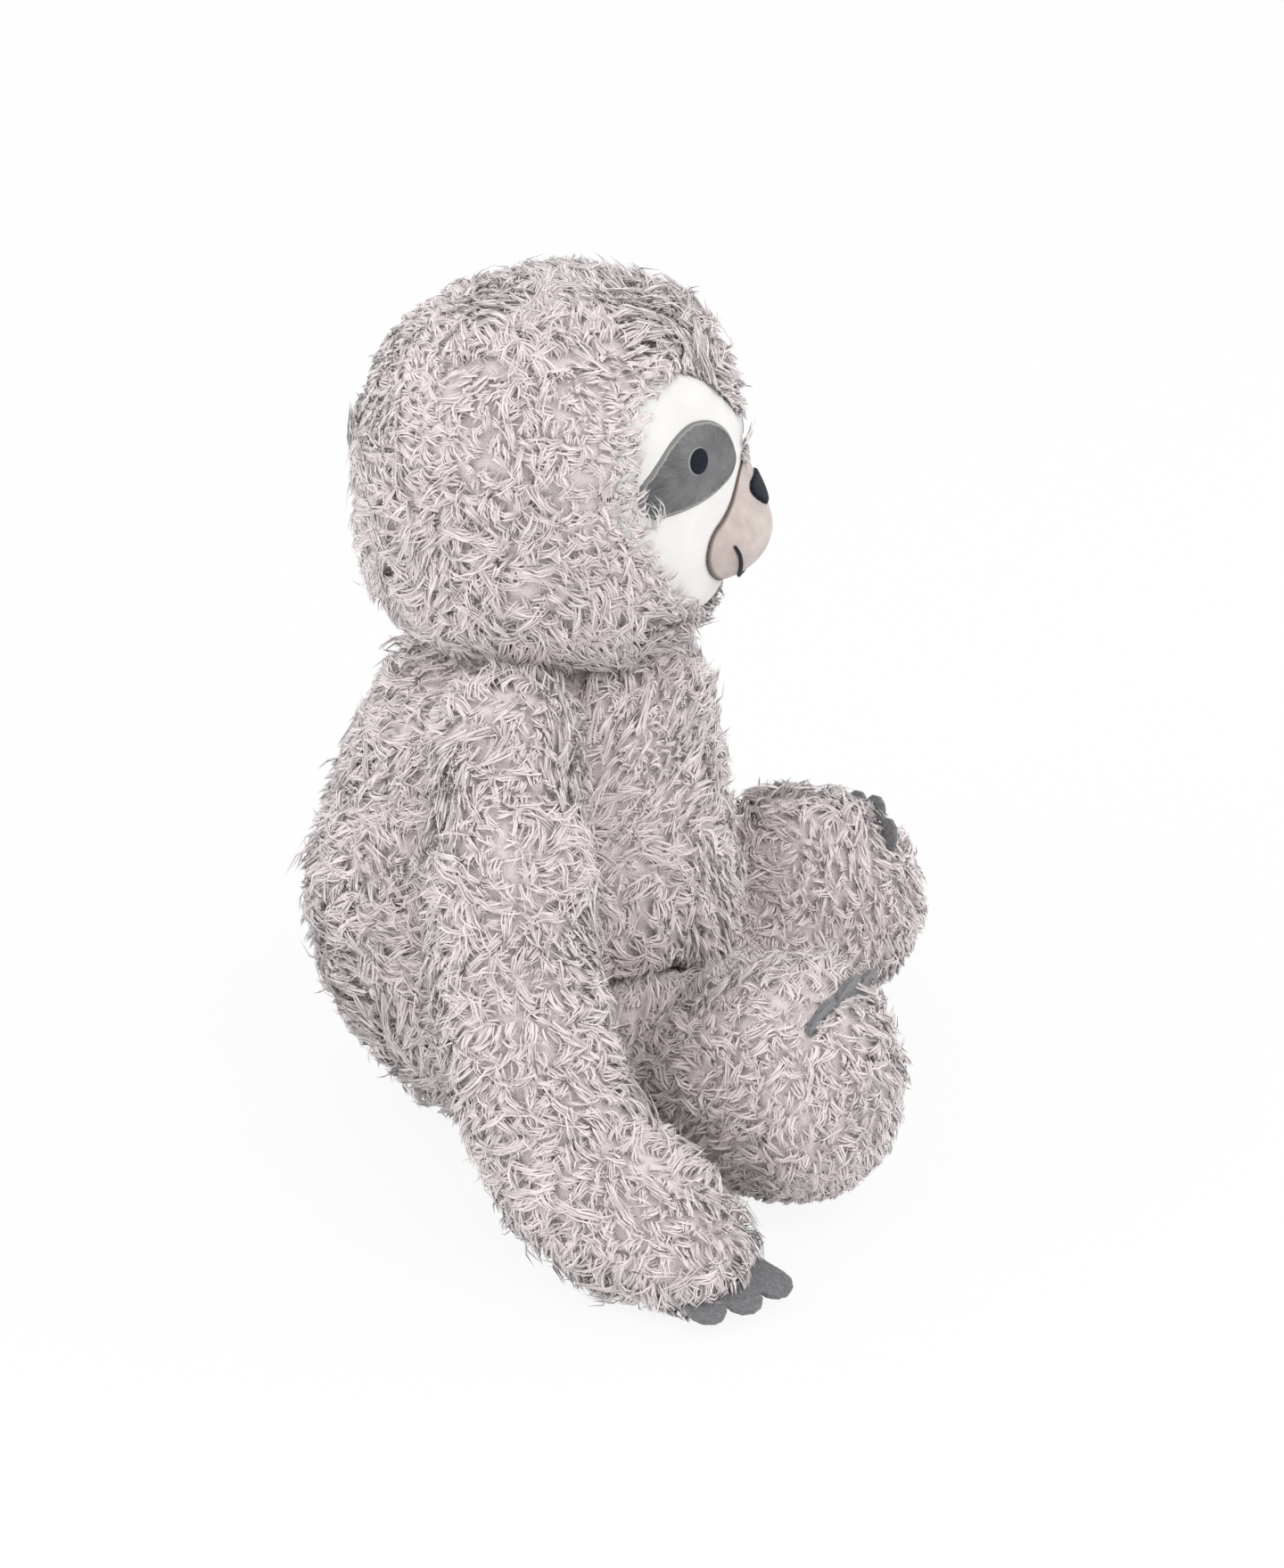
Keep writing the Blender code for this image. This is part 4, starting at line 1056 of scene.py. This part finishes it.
class Face:
    """The white face with its eyes, muzzle, nose and mouth, all riding on the head."""

    PANEL_HALF = (
        (0.000, 0.742), (0.170, 0.815), (0.305, 0.903), (0.390, 0.958), (0.526, 1.000),
        (0.663, 0.993), (0.789, 0.953), (0.891, 0.889), (0.960, 0.809), (0.994, 0.701),
        (1.000, 0.581), (0.983, 0.466), (0.926, 0.352), (0.834, 0.245), (0.686, 0.138),
        (0.480, 0.050), (0.240, 0.007), (0.000, 0.000),
    )
    EYE = (
        (0.000, 0.280), (0.050, 0.490), (0.165, 0.730), (0.305, 0.895), (0.430, 0.975),
        (0.557, 1.000), (0.660, 0.955), (0.763, 0.857), (0.846, 0.728), (0.928, 0.570),
        (0.985, 0.450), (1.000, 0.340), (0.990, 0.120), (0.920, 0.015), (0.840, 0.000),
        (0.705, 0.006), (0.487, 0.034), (0.287, 0.079), (0.095, 0.140),
    )
    MUZZLE_HALF = (
        (0.00, 1.000), (0.16, 0.990), (0.30, 0.940), (0.42, 0.863), (0.56, 0.763),
        (0.74, 0.676), (0.92, 0.605), (1.00, 0.500), (1.00, 0.351), (0.87, 0.200),
        (0.61, 0.069), (0.30, 0.010), (0.00, 0.000),
    )
    NOSE_HALF = (
        (0.00, 1.00), (0.38, 1.00), (0.76, 0.95), (1.00, 0.74), (0.88, 0.46), (0.56, 0.20),
        (0.24, 0.03), (0.00, 0.00),
    )

    PANEL_SIZE = (0.875, 1.490)
    PANEL_FOOT = -0.745
    EYE_PLACE = (0.200, 0.028)
    EYE_SIZE = (0.650, 0.470)
    MUZZLE_SIZE = (0.496, 0.655)
    MUZZLE_FOOT = -0.565
    MUZZLE_MIDDLE = 0.345
    MUZZLE_BULGE = 0.0105
    NOSE_SIZE = (0.285, 0.255)
    NOSE_FOOT = 0.590
    PUPIL_PLACE = (0.575, 0.287)
    PUPIL_SIZE = (0.064, 0.080)
    PUPIL_CORNERS = 24
    MOUTH_SPREAD = 0.83
    MOUTH_LOW, MOUTH_HIGH, MOUTH_POWER = 0.040, 0.451, 3.9
    MOUTH_RADIUS = 0.00068
    SEAM_RADIUS = 0.00030

    def __init__(self, head: HeadForm) -> None:
        """Lay out the outlines.

        Args:
            head: The rounded head.
        """
        self.head = head
        (wide, high), foot = self.PANEL_SIZE, self.PANEL_FOOT
        half = [head.point(wide * x, foot + high * z) for x, z in self.PANEL_HALF]
        self.panel = Shape(mirrored_half(half), head.point(0, 0))
        self.eye = Shape([self.on_eye(a, b) for a, b in self.EYE], self.on_eye(0.5, 0.45))
        self.muzzle = Shape(mirrored_half([self.on_muzzle(x, z) for x, z in self.MUZZLE_HALF]),
                            self.on_muzzle(0, self.MUZZLE_MIDDLE))
        (wide, high), foot = self.NOSE_SIZE, self.NOSE_FOOT
        nose = [self.on_muzzle(wide * x, foot + high * z) for x, z in self.NOSE_HALF]
        self.nose = Shape(mirrored_half(nose), self.on_muzzle(0, foot + high * 0.55))
        pupil = []
        for step in range(self.PUPIL_CORNERS):
            angle = math.tau * step / self.PUPIL_CORNERS
            pupil.append(head.point(
                self.PUPIL_PLACE[0] + self.PUPIL_SIZE[0] * math.cos(angle),
                self.PUPIL_PLACE[1] + self.PUPIL_SIZE[1] * math.sin(angle)))
        self.pupil = Shape(pupil, head.point(*self.PUPIL_PLACE))

    def on_eye(self, across: float, up: float) -> tuple[float, float]:
        """A point of the front view from shares of the left eye patch's width and height."""
        return self.head.point(self.EYE_PLACE[0] + self.EYE_SIZE[0] * across,
                               self.EYE_PLACE[1] + self.EYE_SIZE[1] * up)

    def on_muzzle(self, across: float, up: float) -> tuple[float, float]:
        """A point of the front view from shares of the muzzle's half width and height."""
        return self.head.point(self.MUZZLE_SIZE[0] * across,
                               self.MUZZLE_FOOT + self.MUZZLE_SIZE[1] * up)

    def build(self) -> None:
        """Make every piece of the face."""
        self.build_panel()
        for side in Side:
            self.build_eye(side)
        self.build_muzzle()
        self.build_nose()
        self.build_mouth()

    def build_panel(self) -> None:
        """The white plush panel, a little full between its sewn edges."""
        def lift(x: float, z: float, distance: float) -> float:
            """Height of the panel's padded front."""
            return rounded_edge(distance, 0.0018, 0.006) - 0.0004

        patch = SewnPatch("face_plush", self.panel, self.head.front, lift, 128, 40, 0.008, -0.0022)
        self.panel_piece = patch.build()
        Bench.finish(self.panel_piece, ShortPlushFinish().make(), "head", "white",
                     ("face_panel",))

    def build_eye(self, side: Side) -> None:
        """An eye patch with its border, its light cord and its pupil.

        Args:
            side: The sloth's own side.
        """
        eye = self.eye if side is Side.LEFT else self.eye.mirrored()
        pupil = self.pupil if side is Side.LEFT else self.pupil.mirrored()

        def lift(x: float, z: float, distance: float) -> float:
            """Height of the patch, with a ridge along its cord."""
            ridge = math.exp(-((distance - 0.00125) / 0.00035) ** 2) * 0.00020
            return 0.00145 + rounded_edge(distance, 0.0005, 0.0008) + ridge

        def pupil_lift(x: float, z: float, distance: float) -> float:
            """Height of the pupil's dome."""
            return 0.0019 + rounded_edge(distance, 0.0006, 0.0018)

        patch = SewnPatch(f"eye_cloth_{side.word}", eye, self.head.front, lift, 160, 60, 0.0042,
                          0.0011)
        Bench.finish(patch.build(), EyeClothFinish().make(), "head", "grey",
                     (f"eye_patch_{side.word}",))
        ball = SewnPatch(f"pupil_thread_{side.word}", pupil, self.head.front, pupil_lift, 64, 28,
                         0.0012, 0.0016)
        finish = SatinFinish(f"pupil_satin_{side.word}", rim_width=0.00042).make()
        Bench.finish(ball.build(), finish, "head", "black", (f"pupil_{side.word}",))

    def muzzle_share(self, x: float, z: float) -> float:
        """How far out a point lies between the muzzle's middle (0) and its seam (1)."""
        cx, cz = self.muzzle.centre
        length = math.hypot(x - cx, z - cz)
        if length < 1e-9:
            return 0.0
        angle = math.atan2(z - cz, x - cx)
        points, angles = self.muzzle.points, self.muzzle.angles
        for k, point in enumerate(points):
            after = points[(k + 1) % len(points)]
            span = (angles[k] - angles[(k + 1) % len(points)]) % math.tau
            past = (angles[k] - angle) % math.tau
            if past <= span and span < math.pi:
                share = past / span
                edge = (math.dist(point, (cx, cz)) * (1 - share)
                        + math.dist(after, (cx, cz)) * share)
                return min(length / edge, 1.0)
        return 1.0

    def on_front(self, x: float, z: float, raised: float) -> Vector:
        """A point raised off the front of the padded muzzle, straight out of it."""
        point = self.muzzle_front(x, z)
        beside = self.muzzle_front(x + 0.0003, z) - point
        above = self.muzzle_front(x, z + 0.0003) - point
        return point + beside.cross(above).normalized() * raised

    def muzzle_front(self, x: float, z: float) -> Vector:
        """A point on the front of the padded muzzle."""
        share = self.muzzle_share(x, z)
        middle, top = self.muzzle.centre[1], self.on_muzzle(0, 1)[1]
        rise = min(max((z - middle) / (top - middle), 0), 1)
        lean = 1 - 0.72 * rise ** 1.25
        bulge = self.MUZZLE_BULGE * lean * (1 - share ** 2.3) ** 0.62
        return self.head.front(x, z, 0.0017) - Vector((0, bulge, 0))

    def build_muzzle(self) -> None:
        """The padded muzzle and the brown thread along its seam."""
        def ground(x: float, z: float, raised: float) -> Vector:
            """The padded front, or the flat back on the panel."""
            return self.muzzle_front(x, z) if raised else self.head.front(x, z, 0.0012)

        patch = SewnPatch("muzzle_padded", self.muzzle, ground, lambda x, z, distance: 1.0,
                          128, 56, 0.005, 0.0)
        muzzle = patch.build()
        Bench.finish(muzzle, BrushedClothFinish().make(), "head", "taupe",
                     ("muzzle_cover", "muzzle_filling"))
        path = [self.head.front(*self.muzzle.edge(step / 160), 0.0019) for step in range(160)]
        seam = self.thread("muzzle_seam", path, self.SEAM_RADIUS, 8, True)
        finish = thread_finish("brown_seam_thread", (0.085, 0.058, 0.050), (0.19, 0.14, 0.125))
        Bench.finish(seam, finish, "head", "taupe")

    def build_nose(self) -> None:
        """The satin-stitched nose, ragged by its stitches at the edge."""
        def lift(x: float, z: float, distance: float) -> float:
            """Height of the nose."""
            return 0.0003 + rounded_edge(distance, 0.0009, 0.0012)

        points = []
        for step in range(220):
            x, z = self.nose.edge(step / 220)
            cx, cz = self.nose.centre
            ragged = 1 + 0.030 * math.sin(step * 2.9) + 0.016 * math.sin(step * 1.3)
            points.append((cx + (x - cx) * ragged, cz + (z - cz) * ragged))
        shape = Shape(points, self.nose.centre, False)
        patch = SewnPatch("nose_satin", shape, self.on_front, lift, 200, 28, 0.002, 0.0001)
        finish = SatinFinish("nose_satin_stitch", scales=(900, 200)).make()
        Bench.finish(patch.build(), finish, "head", "black", ("nose_patch",))

    def build_mouth(self) -> None:
        """The smile: one thick thread along the low front of the muzzle."""
        path = []
        for step in range(61):
            share = step / 30 - 1
            rise = self.MOUTH_LOW + (self.MOUTH_HIGH - self.MOUTH_LOW) * (
                abs(share) ** self.MOUTH_POWER)
            place = self.on_muzzle(self.MOUTH_SPREAD * share, rise)
            path.append(self.on_front(*place, 0.0005))
        mouth = self.thread("mouth_thread", path, self.MOUTH_RADIUS, 10, False)
        finish = thread_finish("dark_mouth_thread", (0.008, 0.010, 0.015), (0.032, 0.036, 0.05))
        Bench.finish(mouth, finish, "head", "black", ("mouth_stitch",))

    @staticmethod
    def thread(name: str, path: list[Vector], radius: float, sides: int,
               closed: bool) -> bpy.types.Object:
        """A thread along a path.

        Args:
            name: Its name.
            path: The points that it follows.
            radius: Its radius.
            sides: Corners of its section.
            closed: Whether it is a ring.

        Returns:
            The thread, as a mesh.
        """
        bpy.ops.object.select_all(action="DESELECT")
        if closed:
            bpy.ops.mesh.primitive_torus_add(major_segments=len(path), minor_segments=sides,
                                             major_radius=1, minor_radius=0.1)
        else:
            bpy.ops.mesh.primitive_uv_sphere_add(segments=sides, ring_count=len(path) + 1,
                                                 radius=1)
        piece = bpy.context.active_object
        piece.name = piece.data.name = name
        count = len(path)
        for vert in piece.data.vertices:
            x, y, z = vert.co
            if closed:
                k = round(math.atan2(y, x) / math.tau * count) % count
                angle = math.atan2(z, math.hypot(x, y) - 1)
                size = radius
            else:
                lift = math.asin(max(-1, min(1, z))) / math.pi + 0.5
                k = max(0, min(count - 1, round(lift * (count + 1)) - 1))
                angle = math.atan2(y, x)
                size = 0 if abs(z) > 0.99999 else radius
                if k in (0, count - 1):
                    size *= 0.75
            ahead = path[(k + 1) % count] if closed else path[min(k + 1, count - 1)]
            behind = path[k - 1] if closed else path[max(k - 1, 0)]
            way = (ahead - behind).normalized()
            side = way.cross(Vector((0, 1, 0))).normalized()
            out = side.cross(way)
            vert.co = path[k] + side * (math.cos(angle) * size) + out * (math.sin(angle) * size)
            if not closed and size == 0:
                vert.co += way * (radius * (0.5 if z > 0 else -0.5))
        Bench.turn_outward(piece)
        return piece


@dataclass(frozen=True)
class Studio:
    """The pale floor, the soft lights and the camera at the photograph's angle."""

    target: tuple[float, float, float] = (0.0, -0.040, 0.115)
    distance: float = 1.45
    elevation: float = math.radians(24)
    azimuth: float = math.radians(-84)
    lens: float = 100.0
    room_light: float = 0.90

    def build(self) -> None:
        """Set up camera, floor, world and lamps."""
        self.camera()
        self.floor()
        self.world()
        for name, way, size, power in (
            ("key", (-0.75, -0.55, 0.95), 1.6, 10.0),
            ("fill", (-0.55, 0.95, 0.55), 1.8, 9.0),
            ("front", (0.5, -1.1, 0.5), 1.6, 7.0),
        ):
            self.lamp(name, Vector(way), size, power)

    def camera(self) -> None:
        """Stand the camera."""
        lens = bpy.data.cameras.new("camera")
        lens.lens = self.lens
        lens.sensor_width = 36.0
        lens.clip_start, lens.clip_end = 0.05, 20.0
        camera = Bench.linked("camera", lens)
        flat = math.cos(self.elevation)
        back = Vector((math.sin(self.azimuth) * flat, -math.cos(self.azimuth) * flat,
                       math.sin(self.elevation)))
        camera.location = Vector(self.target) + back * self.distance
        camera.rotation_euler = (-back).to_track_quat("-Z", "Y").to_euler()
        bpy.context.scene.camera = camera

    def floor(self) -> None:
        """Lay the floor."""
        bpy.ops.object.select_all(action="DESELECT")
        bpy.ops.mesh.primitive_plane_add(size=12, location=(0, 0, -0.0004))
        floor = bpy.context.active_object
        floor.name = "floor"
        bpy.ops.object.transform_apply(location=True, rotation=True, scale=True)
        floor.data.materials.append(FloorFinish().make())

    def world(self) -> None:
        """A plain bright room, white to the camera and in reflections."""
        world = bpy.data.worlds.new("room")
        bpy.context.scene.world = world
        world.use_nodes = True
        nodes, links = world.node_tree.nodes, world.node_tree.links
        light = nodes["Background"]
        light.inputs["Color"].default_value = (1, 1, 1, 1)
        light.inputs["Strength"].default_value = self.room_light
        seen = nodes.new("ShaderNodeBackground")
        seen.inputs["Color"].default_value = (1, 1, 1, 1)
        path = nodes.new("ShaderNodeLightPath")
        either = path.outputs["Is Camera Ray"]
        for name in ("Is Glossy Ray", "Is Transmission Ray"):
            largest = nodes.new("ShaderNodeMath")
            largest.operation = "MAXIMUM"
            links.new(either, largest.inputs[0])
            links.new(path.outputs[name], largest.inputs[1])
            either = largest.outputs["Value"]
        mix = nodes.new("ShaderNodeMixShader")
        links.new(either, mix.inputs["Fac"])
        links.new(light.outputs["Background"], mix.inputs[1])
        links.new(seen.outputs["Background"], mix.inputs[2])
        links.new(mix.outputs["Shader"], nodes["World Output"].inputs["Surface"])

    def lamp(self, name: str, way: Vector, size: float, power: float) -> None:
        """Hang one softbox that looks at the sloth.

        Args:
            name: Its name.
            way: Where it hangs from the target, in metres.
            size: Its width.
            power: Its power in watts.
        """
        light = bpy.data.lights.new(name, "AREA")
        light.shape = "DISK"
        light.size = size
        light.energy = power
        lamp = Bench.linked(name, light)
        lamp.location = Vector(self.target) + way * 1.6
        lamp.rotation_euler = (-way).to_track_quat("-Z", "Y").to_euler()


@dataclass(frozen=True)
class CoatPlan:
    """How one body's coat is grown."""

    body: str
    locks: int
    seed: int
    beside: tuple[str, ...]


class Sloth:
    """The whole plush sloth, put together from its parts."""

    COATS = (
        CoatPlan("torso", 42000, 11, ("head", "arm_left", "arm_right", "leg_left", "leg_right")),
        CoatPlan("head", 41500, 12, ("torso", "arm_left", "arm_right")),
        CoatPlan("arm_left", 19400, 13, ("torso", "head", "leg_left")),
        CoatPlan("arm_right", 19400, 13, ("torso", "head", "leg_right")),
        CoatPlan("leg_left", 15800, 14, ("torso", "arm_left", "leg_right")),
        CoatPlan("leg_right", 15800, 14, ("torso", "arm_right", "leg_left")),
    )

    def __init__(self, frame: dict) -> None:
        """Keep the frame and make the shared finishes.
        """
        self.frame = frame
        self.head = HeadForm()
        self.face = Face(self.head)
        self.fur = PileFinish().make()
        self.backing = BACKING.make()
        self.density = 1.0

    def forms(self) -> dict[str, StuffedForm]:
        """The stuffed parts by body."""
        made = {
            "torso": StuffedForm("body_stuffed", "torso", ("torso_cover", "torso_filling"),
                                 ("torso_cover", "torso_filling", "seat_pellet_bag"), 0.85),
            "head": StuffedForm("head_stuffed", "head",
                                ("head_cover", "head_filling", "face_panel"),
                                ("head_cover", "head_filling"), 0.95),
        }
        for side in Side:
            for limb in ("arm", "leg"):
                nodes = (f"{limb}_cover_{side.word}", f"{limb}_filling_{side.word}")
                made[f"{limb}_{side.word}"] = StuffedForm(
                    f"{limb}_stuffed_{side.word}", f"{limb}_{side.word}", nodes, nodes, 0.75)
        return made

    def build(self) -> None:
        """Make every piece."""
        skins = {body: form.build(self.frame, self.backing)
                 for body, form in self.forms().items()}
        trees = {}
        for body, skin in skins.items():
            bm = bmesh.new()
            bm.from_mesh(skin.data)
            trees[body] = BVHTree.FromBMesh(bm)
            bm.free()
        lengths = {"head": self.head_length, "torso": self.torso_length,
                   "leg_left": self.leg_length, "leg_right": self.leg_length,
                   "arm_left": self.left_arm_length}
        for plan in self.COATS:
            coat = Coat(skins[plan.body], plan.body, LockSizes(), plan.seed)
            of_head = plan.body == "head"
            grown = coat.grow(int(plan.locks * self.density), [trees[b] for b in plan.beside],
                              self.combed_head if of_head else self.combed(0, 0.30, -0.60),
                              self.off_face if of_head else None,
                              lengths.get(plan.body))
            coat.sew(grown, f"{plan.body}_fur", self.fur)
        self.face.build()
        self.build_face_fringe()
        self.build_claws()
        self.build_neck_seam()

    @staticmethod
    def combed(*way: float) -> Callable[[Points], Points]:
        """A pull that is the same everywhere."""
        return lambda points: np.array(way) + points * 0

    def combed_head(self, points: Points) -> Points:
        """The pile hangs down, sticks out under the chin and leans in over the face's edge."""
        pull = self.combed(0, 0.20, -0.50)(points)
        brow, chin, near = self.near_face(points)
        pull[:, 1] -= 2.6 * chin + 1.6 * brow
        pull[:, 2] += 0.1 * chin + 1.2 * brow
        middle = np.array([0, -0.07, self.head.centre_height])
        return pull + unit(middle - points) * (near * (1 - brow) * (1 - chin) * 2.2)[:, None]

    def near_face(self, points: Points) -> tuple[Points, Points, Points]:
        """How far points belong to the brow, to the chin and to the face's edge (0 to 1)."""
        y, z = points[:, 1], points[:, 2]
        brow = fade(-y, 0.030, 0.015) * fade(z, 0.260, 0.010)
        chin = fade(-y, 0.030, 0.020) * fade(-z, -0.192, 0.010)
        near = np.exp(-(self.face.panel.distances(points[:, 0], z) / 0.006) ** 2) * (y < -0.02)
        return brow, chin, near

    def off_face(self, roots: Points, normals: Points) -> Points:
        """Tells which roots lie outside the white face."""
        outer = roots + normals * 0.003
        inside = self.face.panel.inside(outer[:, 0], outer[:, 2])
        return ~(inside & (roots[:, 1] < -0.02))

    def head_length(self, roots: Points) -> Points:
        """Locks are long at brow, chin and nape, and short at the back of the crown."""
        y, z = roots[:, 1], roots[:, 2]
        crown = fade(y, -0.005, 0.03) * fade(z, 0.235, 0.02)
        nape = fade(y, 0.02, 0.02) * fade(-z, -0.215, 0.02)
        brow, chin, near = self.near_face(roots)
        long = 1 - 0.50 * crown + 0.30 * brow + 0.60 * chin + 0.25 * nape
        return long * (1 - 0.42 * near)

    @staticmethod
    def leg_length(roots: Points) -> Points:
        """Locks are short under the feet."""
        return 0.88 - 0.42 * fade(-roots[:, 2], -0.050, 0.038)

    @staticmethod
    def torso_length(roots: Points) -> Points:
        """Locks are longest low on the back."""
        return 1 + 0.18 * fade(roots[:, 1], 0.02, 0.03) * fade(-roots[:, 2], -0.12, 0.05)

    @staticmethod
    def left_arm_length(roots: Points) -> Points:
        """Locks are longer along the front of the left forearm."""
        return 1 + 0.50 * fade(-roots[:, 1], 0.045, 0.02) * fade(roots[:, 2], 0.05, 0.03)

    def build_face_fringe(self) -> None:
        """White pile that sticks out over the panel's edge, and a wisp on the bridge."""
        white = PileFinish("short_white_pile", (0.86, 0.80, 0.79), (0.86, 0.80, 0.79),
                           (0.90, 0.86, 0.85), (0.93, 0.90, 0.89)).make()
        short = LockSizes(0.0040, 0.00022, 0.003, 0.35, 0.85, 0.2, 0.12, 0.2, 0.2, 0.04, 0.0004)
        bridge = LockSizes(0.0036, 0.00026, 0.004, 0.55, 0.70, 0.2, 0.12, 0.2, 0.3, 0.0, 0.0004)
        wisp = LockSizes(0.0095, 0.00024, 0.004, 0.40, 0.80, 0.30, 0.12, 0.9, 0.1, 0.0, 0.0004)
        corner = LockSizes(0.0100, 0.00024, 0.003, 0.30, 0.85, 0.25, 0.12, 0.7, 0.1, 0.0, 0.0004)
        for name, sizes, seed, count, pull, keep in (
            ("face_fringe", short, 21, 26000, self.combed_out, self.on_rim),
            ("bridge_pile", bridge, 22, 30000, self.combed(0, -1.0, -3.0), self.on_bridge),
            ("bridge_wisp", wisp, 23, 12000, self.combed(0, -0.3, 4.0), self.on_brow),
            ("eye_wisps", corner, 24, 12000, self.combed_across, self.at_eye_corner),
        ):
            coat = Coat(self.face.panel_piece, "head", sizes, seed)
            coat.sew(coat.grow(int(count * self.density), [], pull, keep), name, white)

    def combed_out(self, points: Points) -> Points:
        """The rim's pile points away from the middle of the face."""
        middle = np.array([0, -0.05, self.head.centre_height])
        return unit(points - middle) * 2.5

    @staticmethod
    def combed_across(points: Points) -> Points:
        """The wisps at the eyes lie across the patches, up and in."""
        return np.stack([-3.0 * np.sign(points[:, 0]), -1.0 + points[:, 0] * 0,
                         3.5 + points[:, 0] * 0], 1)

    def on_rim(self, roots: Points, normals: Points) -> Points:
        """Tells which roots lie along the panel's edge."""
        return (self.face.panel.distances(roots[:, 0], roots[:, 2]) < 0.0009) & (
            normals[:, 1] < 0.3)

    def above_muzzle(self, roots: Points, normals: Points, half_width: float, up: float,
                     half_height: float) -> Points:
        """Tells which roots lie in an oval a little above the muzzle's top.

        Args:
            roots: Where the locks would start.
            normals: The skin's normals there.
            half_width: Half the oval's width.
            up: How far its middle lies above the muzzle.
            half_height: Half its height.

        Returns:
            True for each root inside it, on the front of the panel.
        """
        top = self.face.on_muzzle(0, 1)[1]
        place = np.hypot(roots[:, 0] / half_width, (roots[:, 2] - top - up) / half_height)
        return (place < 1) & (normals[:, 1] < -0.2)

    def on_bridge(self, roots: Points, normals: Points) -> Points:
        """Tells which roots lie just above the muzzle."""
        return self.above_muzzle(roots, normals, 0.0065, 0.0018, 0.0022)

    def on_brow(self, roots: Points, normals: Points) -> Points:
        """Tells which roots lie where the wisp of the bridge starts."""
        return self.above_muzzle(roots, normals, 0.0030, 0.0030, 0.0020)

    def at_eye_corner(self, roots: Points, normals: Points) -> Points:
        """Tells which roots lie below the outer corner of an eye patch."""
        x, z = self.face.on_eye(0.96, -0.05)
        place = np.hypot((np.abs(roots[:, 0]) - x) / 0.0022, (roots[:, 2] - z) / 0.0020)
        return (place < 1) & (normals[:, 1] < 0.2)

    def build_claws(self) -> None:
        """Felt claws: each row cut from thick felt, its edges softly rounded."""
        felt = FELT.make()
        for side in Side:
            for limb, body in (("hand", "arm"), ("foot", "leg")):
                node = f"{limb}_claws_{side.word}"
                claws = Bench.soft_copy(self.frame, (node,), f"{limb}_felt_{side.word}",
                                        0.00042, 3)
                Bench.smooth(claws, math.pi)
                Bench.finish(claws, felt, f"{body}_{side.word}", "felt", (node,))

    def build_neck_seam(self) -> None:
        """Give the ring of thread at the neck its finish."""
        thread = thread_finish("neck_thread", (0.42, 0.37, 0.37), (0.58, 0.53, 0.53))
        node = self.frame["nodes"]["neck_seam"]
        node.data.materials.clear()
        node.data.materials.append(thread)


def main() -> None:
    """Build the scene."""
    logging.basicConfig(level=logging.INFO, format="%(name)s: %(message)s")
    bpy.context.scene.view_settings.view_transform = "Standard"
    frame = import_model()
    Studio().build()
    Sloth(frame).build()


if __name__ == "__main__":
    main()
